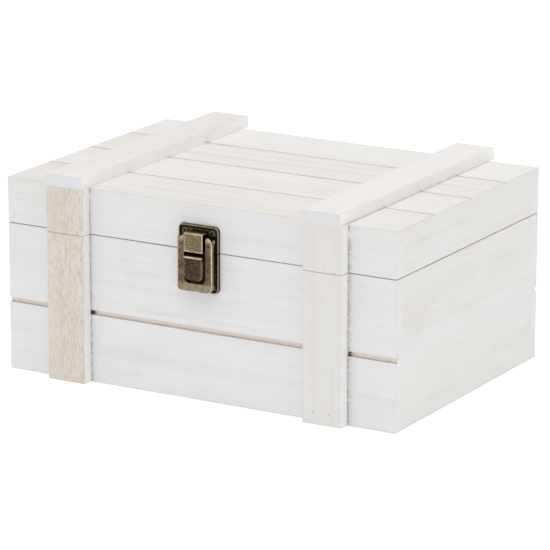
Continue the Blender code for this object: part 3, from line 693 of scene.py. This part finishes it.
for i, settings in enumerate(topWashes):
    node = f"top_board_{i + 1}"
    low, high = grown(node)
    gaps = [side for side, isGap in ((0, i > 0), (1, i < 3)) if isGap]
    reach, strength = topLook["rightShade"]
    shadeBands = [(0, besideRight, reach, strength - topLook["fade"] * i, 1)]
    shadeBands += [(0, besideLeft, *topLook["leftShade"], 1)]
    shadeBands += [(1, (low, high)[side][1], *topLook["gapShade"], 0) for side in gaps]
    front = [] if i else uprightShadeBands()
    material = whitewash(f"topWash{i + 1}", 0, 5 + i, tints=topSides, **settings)
    skin = boardSkin(low, high, 40 + 5 * i, 0, [z0, *topCorners], topLook["arris"], shadeBands=shadeBands + front)
    points, _, marks = skin
    onTop, grime = marks["facingZ"] > 0.5, marks["grime"]
    grime[onTop] = paintedShadeAt(points[onTop], shadeBands)
    # Paint fills the last of each gap at the lid's ends, and painted shade darkens it where a batten crosses
    # it.
    fromEnd = np.minimum(points[:, 0] - low[0], high[0] - points[:, 0])
    closing = np.clip(1.6 - fromEnd / topLook["closing"], 0, 1)
    along, across, strength = topLook["crossShade"]
    for side in gaps:
        fromGap = np.abs(points[:, 1] - (low, high)[side][1])
        for beside in (besideRight, besideLeft):
            away = np.abs(points[:, 0] - beside)
            grime[:] = np.maximum(grime, strength * np.exp(-away / along - fromGap / across))
        filled = closing * np.clip(1.5 - fromGap / mm, 0, 1)
        points[:, 1] += (1 if side else -1) * (halfGap + 0.02 * mm) * filled
    grime *= (1 - marks["facingX"]) * (points[:, 2] > (low[2] + high[2]) / 2)  # only the top gets painted shade
    putPiece(f"{node}_skin", skin, "lid", material, [node])

# The tints across x make each upright's side faces lighter than its front: partly lighter paint, partly a
# painted highlight.
uprightWash = {
    "left": {"streaks": 0.34, "warmth": 0.3, "edgeWear": 0.05, "ticks": 0.42, "tickShare": 0.47,
             "tickFine": 1500, "fleck": True, "paint": (0.745, 0.69, 0.635),
             "tints": [("X", (0.90, 0.875, 0.85))]},
    "right": {"streaks": 0.15, "warmth": 0.32, "edgeWear": 0.05, "ticks": 0.25,
              "paint": (0.77, 0.765, 0.76), "tints": [("X", (0.92, 0.91, 0.895))]},
}
bareTop = {"down": 6 * mm, "across": 20 * mm, "strength": 0.9, "grey": 0.07}  # on the right lid batten
# Painted light on the top battens: their side faces lighter, their end faces darker and cooler than their
# tops.
battenFaceLight = [("X", (0.97, 0.955, 0.94)), ("Y", (0.765, 0.775, 0.785))]
topBattenWash = {
    "left": {"streaks": 0.12, "warmth": 0.22, "edgeWear": 0.1, "ticks": 0.2, "paint": (0.86, 0.84, 0.82)},
    "right": {"streaks": 0.10, "warmth": 0.18, "edgeWear": 0.1, "ticks": 0.2, "paint": (0.88, 0.86, 0.845)},
}
for number, side in enumerate(("left", "right")):
    upright = whitewash(f"{side}UprightWash", 2, 10 + number, **uprightWash[side])
    over = whitewash(f"{side}TopBattenWash", 1, 14 + number, darkening=0.2, tints=battenFaceLight,
                     **topBattenWash[side])
    for node, body, sides, grain, material, tight in (
        ("front_batten", "box", (y1,), 2, upright, (y1, z0)),
        ("lid_batten", "lid", (y1,), 2, upright, (y1, z1)),
        ("top_batten", "lid", (z0,), 1, over, (z0,)),
    ):
        name = f"{side}_{node}"
        low, high = grown(name, *sides)
        low[2] -= seamClose["batten"] if node == "lid_batten" else 0
        high[2] += seamClose["batten"] if node == "front_batten" else 0
        seed = 60 + 7 * number + 3 * grain + len(node)
        skin = boardSkin(low, high, seed, grain, arris=0.35 * mm, tight=tight)
        if name == "right_lid_batten":  # bare wood shows at its top, most on its left
            points, _, marks = skin
            fromTop, fromLeft = high[2] - points[:, 2], points[:, 0] - low[0]
            bare = bareTop["strength"] * np.exp(-fromTop / bareTop["down"] - fromLeft / bareTop["across"])
            marks["raw"] = bare * (1 - marks["facingX"])
            marks["grime"] = bareTop["grey"] * marks["raw"]
        putPiece(f"{name}_skin", skin, body, material, [name])

bottom = boardSkin(*grown("bottom_panel"), 90, 0, arris=0.3 * mm)
putPiece("bottom_panel_skin", bottom, "box", rawSheet("bottomSheet"), ["bottom_panel"])
print("boards done")

# Brad heads: a small sunk disc with a filled ring, flush with the wood

bradLook = {
    "radius": 0.5 * mm,
    "foot": 0.5 * mm,  # how far the skin starts below the wood
    "proud": 0.04 * mm,  # how far the filled ring stands out
    "sunk": 0.12 * mm,  # how deep the head lies inside the ring
}
bradSteel = smallSteel("bradSteel", 3, (0.62, 0.60, 0.585), 0.6)
for node in [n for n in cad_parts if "brad" in n]:
    isBack = node.startswith("back")
    centre = middleOf(node)
    centre[1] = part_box("back_lower_board")[1].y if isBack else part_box("front_lower_board")[0].y
    if "batten" in node:
        centre[1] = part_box(f"{node.split('_')[0]}_front_batten")[0].y
    way = 1 if isBack else -1
    r, proud, sunk = bradLook["radius"], bradLook["proud"], bradLook["sunk"]
    profile = [(0.9 * r, -bradLook["foot"]), (r, -0.2 * mm), (r, 0), (0.85 * r, proud)]
    profile += [(0.6 * r, 0.7 * proud), (0.5 * r, 0.02 * mm - sunk), (0.1 * r, -sunk)]
    skin = turnedSkin([(radius, way * along) for radius, along in profile], centre, "y",
                      wear=[0, 0, 0.2, 0.4, 0.2, 0, 0], recess=[0, 0, 0.2, 0, 0.6, 1, 1], around=20)
    putPiece(f"{node}_head", skin, "box", bradSteel, [node])

# Screws

screwLook = {
    "radius": 2.1 * mm,
    "head": 0.9 * mm,
    "slotHalf": 0.24 * mm,
    "slotReach": 1.35 * mm,
    "slotDepth": 0.5 * mm,
    "shank": 0.4,  # as a share of the head
    "length": 3 * mm,
}
screwSteel = smallSteel("screwSteel", 7, (0.16, 0.14, 0.105), 0.38)


def screwSkin(centre, under, way, turn):
    # A head over (radius, angle): its height is a flattened dome less the cross that two bars cut.
    look = screwLook
    share = np.array([0.05, 0.12, 0.2, 0.3, 0.4, 0.5, 0.6, 0.68, 0.76, 0.84, 0.9, 0.95, 0.98, 1.0])
    angle = np.linspace(0, 2 * math.pi, 72, endpoint=False)
    r = look["radius"] * share[:, None]
    x, z = r * np.cos(angle), r * np.sin(angle)
    u, v = x * math.cos(turn) + z * math.sin(turn), z * math.cos(turn) - x * math.sin(turn)
    slots = [np.abs(a) / look["slotHalf"] for a in (u, v)]
    reaches = [np.abs(a) / look["slotReach"] for a in (v, u)]
    cross = np.clip((1.25 - np.minimum(*np.maximum(slots, reaches))) / 0.5, 0, 1)
    dome = look["head"] * (0.35 + 0.65 * np.sqrt(np.clip(1 - share[:, None] ** 2.6, 0, 1)))
    height = dome - cross * look["slotDepth"]
    rings = np.stack([centre[0] + x, under + way * height, centre[1] + z], axis=-1)
    rim = np.stack([centre[0] + x[-1], np.full(len(angle), under), centre[1] + z[-1]], axis=-1)
    shank = rim.copy()
    shank[:, 0] = centre[0] + look["shank"] * x[-1]
    shank[:, 2] = centre[1] + look["shank"] * z[-1]
    tip = shank - np.array([0, way * look["length"], 0])
    rings = np.concatenate([rings, [rim, shank, tip]])
    edge = np.broadcast_to(0.7 * np.clip((share[:, None] - 0.7) / 0.25, 0, 1), cross.shape)
    plain = np.zeros((3, len(angle)))
    return ringSkin(rings, np.concatenate([edge, plain]), np.concatenate([cross, plain]))


for number, node in enumerate(sorted(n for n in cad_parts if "screw" in n)):
    way = 1 if "hinge" in node else -1
    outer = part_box(node)[1 if way > 0 else 0].y
    skin = screwSkin(middleOf(node)[[0, 2]], outer - way * screwLook["head"], way, 0.4 + 0.9 * number)
    body = "lid" if "lid" in node or "catch" in node else "box"
    putPiece(f"{node}_head", skin, body, screwSteel, [node])
print("brads and screws done")

# The draw latch. Its own measures are x from its middle, out from the box's front and z from the
# seam. An outline's corners are (out, z), and they and their radii are in millimetres.

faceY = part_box("front_upper_board")[0].y
seamZ = (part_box("front_upper_board")[1].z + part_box("lid_front_rail")[0].z) / 2
latchX = middleOf("catch_plate")[0]


def atLatch(x, out, z):
    x, out, z = np.broadcast_arrays(x, out, z)
    return np.stack([latchX + x, faceY - out, seamZ + z], axis=-1)


def pairOf(look):
    # One outline carried between two distances from the latch's middle, on its left and its right.
    line = rounded(look["corners"], look["radii"])
    spans = [sorted((sign * look["inner"], sign * look["outer"])) for sign in (-1, 1)]
    return [sheetSkin(line, atLatch, *span, look["edge"], look["inset"]) for span in spans]


plateLook = {
    "half": 15.5 * mm,
    "step": 0.2 * mm,  # of the grid
    "back": 0.05 * mm,
    "floor": 1.0 * mm,
    "foot": 0.45 * mm,  # height of the outer edge
    "footWidth": 0.35 * mm,
    "rim": 1.25 * mm,  # height of the rim over the floor
    "rimWidth": 1.4 * mm,
    "blurs": (3, 7),  # windows, in steps, that find edges and hollows
    "bright": 0.12 * mm,  # rise above the near mean where an edge is bare
    "dark": 0.35 * mm,  # fall below the far mean where a hollow is black
}


def plateSkin(seamEnd, farEnd, corner, blocks):
    # A pressed plate over a grid of (x, z). Near the far corners the grid's squares become arcs.
    # Height is the floor, a half-round rim along three sides, and each raised block.
    look = plateLook
    half, way = look["half"], np.sign(farEnd - seamEnd)
    length = abs(farEnd - seamEnd)
    x = np.linspace(-half, half, int(2 * half / look["step"]))[:, None]
    run = np.linspace(0, length, int(length / look["step"]))[None]
    x, run = np.broadcast_arrays(x, run)
    qx, qz = np.abs(x) - (half - corner), run - (length - corner)
    inCorner = (qx > 0) & (qz > 0)
    size, reach = np.maximum(qx, qz), np.hypot(qx, qz)
    pull = np.where(inCorner, size / np.maximum(reach, 1e-9), 1)
    x = np.where(inCorner, np.sign(x) * (half - corner + qx * pull), x)
    run = np.where(inCorner, length - corner + qz * pull, run)
    fromEdge = np.where(inCorner, corner - size, np.minimum(half - np.abs(x), length - run))
    ring = 1 - (np.clip(fromEdge / look["rimWidth"], 0, 1) * 2 - 1) ** 2
    height = look["floor"] + look["rim"] * np.sqrt(np.clip(ring, 0, 1)) ** 1.2
    height -= (look["floor"] - look["foot"]) * np.clip(1 - fromEdge / look["footWidth"], 0, 1)
    z = seamEnd + way * run
    for block in blocks:
        height = np.maximum(height, blockRise(x, z, block))
    small, large = (averaged(height, reach) for reach in look["blurs"])
    wear = np.clip((height - small) / look["bright"], 0, 1)
    recess = np.clip((large - height) / look["dark"], 0, 1)
    count, across = x.shape
    top = atLatch(x, height, z).reshape(-1, 3)
    index = np.arange(count * across).reshape(count, across)
    quads = gridQuads(index)
    rim = np.concatenate([index[:, 0], index[-1, 1:], index[-2::-1, -1], index[0, -2:0:-1]])
    under = top[rim].copy()
    under[:, 1] = faceY - look["back"]
    low = len(top) + np.arange(len(rim))
    walls = np.stack([rim, low, np.roll(low, -1), np.roll(rim, -1)], axis=-1)
    if way < 0:
        quads, walls, low = quads[:, ::-1], walls[:, ::-1], low[::-1]
    faces = quads.tolist() + walls.tolist() + [low.tolist()]
    # The edge walls are painted dark down to the wood: painted shade at the plate's foot.
    marks = {
        "wear": np.concatenate([wear.ravel(), np.zeros(len(rim))]),
        "recess": np.concatenate([recess.ravel(), np.full(len(rim), 0.8)]),
    }
    return np.concatenate([top, under]), faces, marks


hookAxis = (4.2 * mm, 0.2 * mm)  # out, z
plateBrass = antiqueBrass("plateBrass", 2, (0.040, 0.029, 0.021), (0.16, 0.118, 0.078), darkness=0.15,
                          polish=0.34)
leverBrass = antiqueBrass("leverBrass", 5, (0.036, 0.027, 0.021), (0.22, 0.165, 0.105), polish=0.95)
hookBrass = antiqueBrass("hookBrass", 6, (0.070, 0.052, 0.030), (0.33, 0.255, 0.15), polish=0.75)

# Raised blocks: low and high are their corners (x, z), in millimetres like the rest.
ledge = {"low": (-5.5, 10.4), "high": (5.5, 12.2), "radius": 0.5, "top": 3.0, "slope": 0.25, "edge": 0.45}
pad = {"low": (-7.3, -18.4), "high": (7.3, -1.9), "radius": 4.0, "top": 9.5, "slope": 0.2, "edge": 1.3}
padRoll = {"low": (-7.1, -3.5), "high": (7.1, -1.95), "radius": 0.6, "top": 9.98, "slope": 0.5, "edge": 0.7}
catchSkin = plateSkin(0.3 * mm, 17.9 * mm, 3.5 * mm, [ledge])
putPiece("catch_plate_pressed", catchSkin, "lid", plateBrass, ["catch_plate"])

earLook = {
    "inner": 9.9 * mm,
    "outer": 11.1 * mm,
    "edge": 0.25 * mm,
    "inset": 0.4 * mm,
    "corners": [(0.8, -9), (1.9, -9), (3.9, 6.6), (5.8, 7.7), (5.7, 9.7), (3.4, 9.7), (1.5, 1.5), (1.4, -0.6),
                (0.8, -0.6)],
    "radii": [0.1, 0.8, 1.5, 0.8, 1.2, 1.2, 0.8, 0.2, 0.1],
}
baseSkin = plateSkin(-0.3 * mm, -27.8 * mm, 4.0 * mm, [pad, padRoll])
points, _, marks = baseSkin
across, out, z = np.abs(points[:, 0] - latchX) / mm, (faceY - points[:, 1]) / mm, (points[:, 2] - seamZ) / mm
onPad = (across < pad["high"][0] + 0.3) & (z > pad["low"][1] - 0.4)
onShadedFace = (across < pad["high"][0] - 1.6) & (out > pad["top"] - 0.2) & (z < pad["high"][1] - 2)
onLitRoll = onPad & (out > pad["top"] + 0.1)
# Painted shade on the pad's flat face, and a painted highlight along its rolled top edge, brighter than any
# wear.
marks["recess"] = np.where(onLitRoll, 0, np.maximum(marks["recess"], 0.35 * onShadedFace))
marks["wear"] = np.where(onLitRoll, 1.9, np.where(onShadedFace, 0, np.where(onPad, 0.5, 1)) * marks["wear"])
baseSkin = joined(baseSkin, *pairOf(earLook))
putPiece("base_plate_pressed", baseSkin, "box", plateBrass, ["base_plate"])

hookLook = {
    "half": 7.15 * mm,
    "edge": 0.25 * mm,
    "inset": 0.7 * mm,
    "corners": [(4.0, -0.5), (5.4, -0.05), (8.95, 0.9), (8.9, 13.75), (3.35, 13.75), (3.35, 12.9),
                (8.0, 12.9), (8.05, 1.8), (4.2, 1.4)],
    "radii": [0.3, 0.6, 0.35, 1.1, 0.35, 0.2, 0.5, 0.6, 0.3],
    "barrel": 1.3 * mm,
    "barrelEnd": 7.05 * mm,
}
hookLine = rounded(hookLook["corners"], hookLook["radii"])
half, end, r = hookLook["half"], hookLook["barrelEnd"], hookLook["barrel"]
hookSheet = sheetSkin(hookLine, atLatch, -half, half, hookLook["edge"], hookLook["inset"])
barrelLine = bothEnds([(0.2 * mm, -end), (r - 0.2 * mm, -end), (r, 0.2 * mm - end)], -end, end)
barrel = turnedSkin(barrelLine, atLatch(0, *hookAxis), "x", wear=[0, 0.5, 0.4, 0.4, 0.5, 0])
hook = joined(hookSheet, barrel)
putPiece("latch_hook_pressed", hook, "hook", hookBrass, ["latch_hook"])

leverLook = {
    "half": 13.35 * mm,
    "window": 8.2 * mm,
    "top": 11.0 * mm,
    "bottom": -26.3 * mm,
    "windowBottom": -20.8 * mm,
    "corner": 3.6 * mm,
    "windowCorner": 4.0 * mm,
    "crown": 4.6 * mm,  # how far the round top of an arm falls away
    "face": 7.2 * mm,
    "sheet": 0.9 * mm,
    "flange": 4.3 * mm,
    "endFlange": 5.95 * mm,  # a shallower flange where it turns over an arm's end, to clear the ears
    "endFrom": 8.2 * mm,  # where it starts
    "endOver": 0.9 * mm,
    "dip": 0.9 * mm,  # how far the top edge bends back
    "dipOver": 1.2 * mm,
    # painted highlights on the arms' tops, the lower edge and the bar
    "highlight": {"top": 0.75, "low": 0.9, "bar": 0.58},
    "lift": 1.6 * mm,  # how far the lower edge tilts away from the box
    "liftFrom": -21.5 * mm,
    "edge": 0.75 * mm,
    "innerEdge": 0.4 * mm,
}


def leverSkin():
    # A channel carried along a U. At each place the outer and the inner outline give the two ends of
    # its width; the section goes up the outer flange, over a round edge, across the face and back.
    look = leverLook
    half, window, corner, inner = look["half"], look["window"], look["corner"], look["windowCorner"]
    roundTop = look["top"] - look["crown"] * np.array([0, 0.02, 0.06, 0.12, 0.2, 0.3, 0.45, 0.6, 0.8, 1])
    arm = np.concatenate([roundTop, np.linspace(look["top"] - look["crown"] - 0.8 * mm, 0, 24)])
    fall = np.clip((arm - (look["top"] - look["crown"])) / look["crown"], 0, 1)
    inset = look["crown"] * (1 - np.sqrt(np.clip(1 - fall**2, 0, 1)))
    low = np.linspace(0, 1, 56)[1:]
    side = np.ones(len(low))
    outerArm = np.stack([inset - half, arm], axis=-1)
    innerArm = np.stack([-window - 0.1 * inset, arm], axis=-1)
    outerLow = np.stack([-half * side, low * (look["bottom"] + corner)], axis=-1)
    innerLow = np.stack([-window * side, low * (look["windowBottom"] + inner)], axis=-1)
    turn = np.linspace(0, math.pi / 2, 15)[1:, None]
    bend = np.concatenate([-np.cos(turn), -np.sin(turn)], axis=1)
    outerBend = np.array([corner - half, look["bottom"] + corner]) + corner * bend
    innerBend = np.array([inner - window, look["windowBottom"] + inner]) + inner * bend
    share = np.linspace(0, 1, 30)[1:, None]
    outerBar = outerBend[-1] + share * (np.array([0, look["bottom"]]) - outerBend[-1])
    innerBar = innerBend[-1] + share * (np.array([0, look["windowBottom"]]) - innerBend[-1])
    outer = np.concatenate([outerArm, outerLow, outerBend, outerBar])
    within = np.concatenate([innerArm, innerLow, innerBend, innerBar])
    mirror = np.array([-1, 1])
    outer = np.concatenate([outer, (outer[:-1] * mirror)[::-1]])[:, None]
    within = np.concatenate([within, (within[:-1] * mirror)[::-1]])[:, None]
    width = np.linalg.norm(within - outer, axis=-1, keepdims=True)
    across = (within - outer) / width

    # the section: distance in from the outer outline, share of the width, out, wear
    e, f, face, sheet = look["edge"], look["innerEdge"], look["face"], look["sheet"]
    steps = np.linspace(0, math.pi / 2, 6)
    section = [(0, 0, look["flange"], 0.5), (0, 0, face - e - 1.2 * mm, 0.2)]
    for t in steps:
        section.append((e * (1 - math.cos(t)), 0, face - e + e * math.sin(t), 0.35 + 0.65 * math.sin(2 * t)))
    section += [(e + 0.5 * mm, 0, face, 0.15), (0, 0.4, face, 0), (0, 0.7, face, 0)]
    section += [(-f - 0.5 * mm, 1, face, 0.1)]
    for t in steps:
        section.append((-f + f * math.sin(t), 1, face - f + f * math.cos(t), 0.3 * math.sin(2 * t) + 0.1))
    under = face - sheet
    section += [(0, 1, under, 0), (-0.3 * mm, 1, under - 0.05 * mm, 0), (0, 0.5, under, 0)]
    section += [(sheet + 0.3 * mm, 0, under, 0), (sheet, 0, under - 0.4 * mm, 0)]
    section += [(sheet, 0, look["flange"], 0)]
    fixed, part, out, wear = np.array(section).T
    flat = outer + across * (fixed[None, :, None] + part[None, :, None] * width)
    z = flat[..., 1]
    lift = np.clip((look["liftFrom"] - z) / (look["liftFrom"] - look["bottom"]), 0, 1)
    lift = look["lift"] * lift**1.2
    dip = look["dip"] * np.clip((z - look["top"] + look["dipOver"]) / look["dipOver"], 0, 1) ** 2
    # the flange is squeezed up towards the face's underside near an arm's end
    raised = (look["endFlange"] - look["flange"]) * np.clip((z - look["endFrom"]) / look["endOver"], 0, 1)
    squeezed = np.clip(under - out, 0, None) * raised / (under - look["flange"])
    depth = out + squeezed + lift - dip
    # Painted highlights, carried by the wear mark: the arms' tops, the lower edge and the bar, which faces
    # up, are made brighter.
    highlight = look["highlight"]
    topHighlight = highlight["top"] * np.clip((z - (look["top"] - 5 * mm)) / (4 * mm), 0, 1)
    lowHighlight = highlight["low"] * np.clip((look["bottom"] + 1.1 * mm - z) / (0.8 * mm), 0, 1) * (out > under)
    barHighlight = highlight["bar"] * np.clip((look["windowBottom"] + 1 * mm - z) / (2 * mm), 0, 1)
    rubbed = np.maximum.reduce([np.broadcast_to(wear, z.shape), topHighlight, lowHighlight, barHighlight])
    return ringSkin(atLatch(flat[..., 0], depth, z), rubbed, 0.0)


lugLook = {
    "inner": 8.2 * mm,
    "outer": 9.1 * mm,
    "edge": 0.2 * mm,
    "inset": 0.3 * mm,
    "corners": [(6.8, -4.0), (6.8, 4.4), (2.9, 2.3), (2.9, -1.9)],
    "radii": [0.1, 0.1, 1.4, 1.4],
}
bossLook = {
    "inner": 12.45 * mm,
    "outer": 13.3 * mm,
    "edge": 0.2 * mm,
    "inset": 0.3 * mm,
    "corners": [(6.4, 3.4), (6.4, 8.8), (5.6, 9.9), (2.6, 9.9), (2.55, 6.6), (4.3, 4.2)],
    "radii": [0.1, 0.3, 0.6, 1.4, 1.2, 0.6],
}
sides = pairOf(lugLook) + pairOf(bossLook)
for _, _, marks in sides:
    marks["wear"] = 0.25 * marks["wear"]
lever = joined(leverSkin(), *sides)
putPiece("latch_lever_pressed", lever, "lever", leverBrass, ["latch_lever"])

rivetLook = {"head": 0.4 * mm, "dome": 0.15 * mm}
for node, body in (("lever_rivet_left", "box"), ("lever_rivet_right", "box"), ("hook_rivet", "lever")):
    low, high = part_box(node)
    centre = middleOf(node)
    centre[0] = 0
    r, head, dome = (high.z - low.z) / 2, rivetLook["head"], rivetLook["dome"]
    line = [(0.25 * r, low.x), (0.75 * r, low.x + 0.4 * dome), (r, low.x + dome), (r, low.x + head)]
    line = bothEnds([*line, (0.63 * r, low.x + head)], low.x, high.x)
    wear = [0.6, 0.8, 0.8, 0.3, 0.1]
    skin = turnedSkin(line, centre, "x", wear=wear + wear[::-1], around=28)
    putPiece(f"{node}_turned", skin, body, leverBrass, [node])
print("latch done")

# Butt hinges on the back

hingeLook = {
    "half": 13.0 * mm,
    "height": 12.5 * mm,
    "leaf": 1.0 * mm,
    "barrel": 2.0 * mm,
    "clear": 2.3 * mm,  # from the seam to the leaf, beside a tab
    "third": 26.0 / 6 * mm,  # from the middle to a knuckle's end
    "shoulder": 0.3 * mm,  # round end of a knuckle
    "play": 0.3 * mm,  # between one knuckle and the next
    "tab": 0.1 * mm,  # how much a leaf's tab is shorter than its knuckle
    "corner": 1.2 * mm,
    "tabCorner": 0.15 * mm,
    "bore": 0.95 * mm,
}
hingeBrass = antiqueBrass("hingeBrass", 9, (0.075, 0.06, 0.04), (0.24, 0.19, 0.11), darkness=0.05, polish=0.8)
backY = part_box("back_upper_board")[1].y
pinEnd = [(0.5, 0), (1.1, 0.12), (1.5, 0.4), (0.9, 0.45)]  # radius, distance from the end, in millimetres


def leafSkin(hingeX, axisY, sign, isOuter):
    # A leaf's outline with its tabs, carried through its thickness, and one barrel for each knuckle.
    look = hingeLook
    half, third, tab = look["half"], look["third"], look["tab"]
    if isOuter:
        knuckles = [(-half, -third), (third, half)]
        between = third + tab
        near = [(half, 0), (between, 0), (between, 1), (-between, 1), (-between, 0), (-half, 0)]
    else:
        knuckles = [(look["play"] - third, third - look["play"])]
        inside = third - look["play"] - tab
        near = [(half, 1), (inside, 1), (inside, 0), (-inside, 0), (-inside, 1), (-half, 1)]
    edge = [(-half, sign * look["height"]), (half, sign * look["height"])]
    edge += [(u, sign * look["clear"] * level) for u, level in near]
    outline = rounded(edge, [look["corner"]] * 2 + [look["tabCorner"]] * 6, step=0.5 * mm, unit=1)

    def place(along, u, v):
        return np.stack([hingeX + u, along, seamZ + v], axis=-1)

    skins = [sheetSkin(outline, place, backY + 0.05 * mm, backY + glue + look["leaf"], 0.22 * mm, 0.5 * mm)]
    s, r = look["shoulder"], look["barrel"]
    for start, end in knuckles:
        line = [(look["bore"], start), (r - s, start), (r - 0.3 * s, start + 0.3 * s), (r, start + s)]
        line = bothEnds(line, start, end)
        line.insert(4, (r, (start + end) / 2))
        wear = [0.2, 0.9, 0.9, 0.5, 0.25, 0.5, 0.9, 0.9, 0.2]
        skins.append(turnedSkin(line, (hingeX, axisY, seamZ), "x", wear=wear))
    return joined(*skins)


for side in ("left", "right"):
    low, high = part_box(f"{side}_hinge_pin")
    middle, axisY, _ = middleOf(f"{side}_hinge_pin")
    for leaf, body, sign, isOuter in (("body_leaf", "box", -1, True), ("lid_leaf", "lid", 1, False)):
        node = f"{side}_hinge_{leaf}"
        skin = leafSkin(middle, axisY, sign, isOuter)
        putPiece(f"{node}_pressed", skin, body, hingeBrass, [node])
    line = [(radius * mm, low.x + along * mm) for radius, along in pinEnd]
    skin = turnedSkin(bothEnds(line, low.x, high.x), (0, axisY, seamZ), "x",
                      wear=[0.7, 0.8, 0.6, 0, 0, 0.6, 0.8, 0.7], around=28)
    putPiece(f"{side}_hinge_pin_turned", skin, "box", hingeBrass, [f"{side}_hinge_pin"])
print("hinges done")

# Floor, light and camera

stageLook = {
    "floor": (0.92, 0.92, 0.92),
    "floorGlow": 0.30,
    "sky": 0.86,
    "horizon": 0.42,
}


def paleFloor():
    mesh = bpy.data.meshes.new("studioFloor")
    reach, fine = 6.0, 25
    u = np.linspace(-reach, reach, fine)
    grid = np.stack([*np.meshgrid(u, u, indexing="ij"), np.zeros((fine, fine))], axis=-1).reshape(-1, 3)
    index = np.arange(fine * fine).reshape(fine, fine)
    mesh.from_pydata(grid.tolist(), [], gridQuads(index).tolist())
    floor = bpy.data.objects.new("studioFloor", mesh)
    bpy.context.collection.objects.link(floor)
    s = Shader("studioWhite")
    s.main.inputs["Specular IOR Level"].default_value = 0.0
    s.main.inputs["Emission Color"].default_value = (1, 1, 1, 1)
    s.main.inputs["Emission Strength"].default_value = stageLook["floorGlow"]
    mesh.materials.append(s.finish(stageLook["floor"], 0.9))


def softWorld():
    world = bpy.data.worlds.new("studioSky")
    world.use_nodes = True
    tree = world.node_tree
    coords, split = tree.nodes.new("ShaderNodeTexCoord"), tree.nodes.new("ShaderNodeSeparateXYZ")
    ramp = tree.nodes.new("ShaderNodeMapRange")
    tree.links.new(coords.outputs["Generated"], split.inputs[0])
    tree.links.new(split.outputs["Z"], ramp.inputs["Value"])
    values = (0.0, 0.9, stageLook["horizon"], stageLook["sky"])
    for key, value in zip(("From Min", "From Max", "To Min", "To Max"), values):
        ramp.inputs[key].default_value = value
    tree.nodes["Background"].inputs["Color"].default_value = (1, 1, 1, 1)
    tree.links.new(ramp.outputs["Result"], tree.nodes["Background"].inputs["Strength"])
    bpy.context.scene.world = world


def areaLight(name, place, target, size, power):
    light = bpy.data.lights.new(name, "AREA")
    light.shape = "RECTANGLE"
    light.size, light.size_y = size
    light.energy = power
    lamp = bpy.data.objects.new(name, light)
    lamp.location = place
    lamp.rotation_euler = (Vector(target) - Vector(place)).to_track_quat("-Z", "Y").to_euler()
    bpy.context.collection.objects.link(lamp)


paleFloor()
softWorld()
softboxes = {
    # name: place, what it faces, size, power in watts
    "overheadSoftbox": ((0.2, -0.3, 1.9), (0, 0, 0.05), (1.6, 1.6), 11.0),
    "frontSoftbox": ((-0.6, -2.0, 1.2), (0, 0, 0.07), (1.4, 1.2), 1.0),
    "sideSoftbox": ((2.2, -0.2, 1.0), (0, 0, 0.07), (1.4, 1.2), 2.3),
}
for name, settings in softboxes.items():
    areaLight(name, *settings)

view = {"azimuth": 30.033, "elevation": 15.171, "roll": 0.053, "distance": 2.5007, "lens": 238.34}
viewMiddle = Vector((0, 0, 0.0677))
viewShift = (-0.000284, 0.005205)  # across and up, in metres


def addCamera():
    a, e = math.radians(view["azimuth"]), math.radians(view["elevation"])
    back = Vector((math.sin(a) * math.cos(e), -math.cos(a) * math.cos(e), math.sin(e)))
    right = Vector((math.cos(a), math.sin(a), 0))
    up = back.cross(right)
    data = bpy.data.cameras.new("studioCamera")
    data.lens, data.sensor_width = view["lens"], 36.0
    data.clip_start, data.clip_end = 0.1, 20.0
    camera = bpy.data.objects.new("studioCamera", data)
    place = viewMiddle + back * view["distance"] - right * viewShift[0] - up * viewShift[1]
    turned = Matrix((right, up, back)).transposed() @ Matrix.Rotation(math.radians(view["roll"]), 3, "Z")
    camera.matrix_world = Matrix.Translation(place) @ turned.to_4x4()
    bpy.context.collection.objects.link(camera)
    bpy.context.scene.camera = camera


addCamera()
bpy.context.scene.view_settings.view_transform = "Standard"
bpy.context.scene.view_settings.look = "None"

print("stage done")
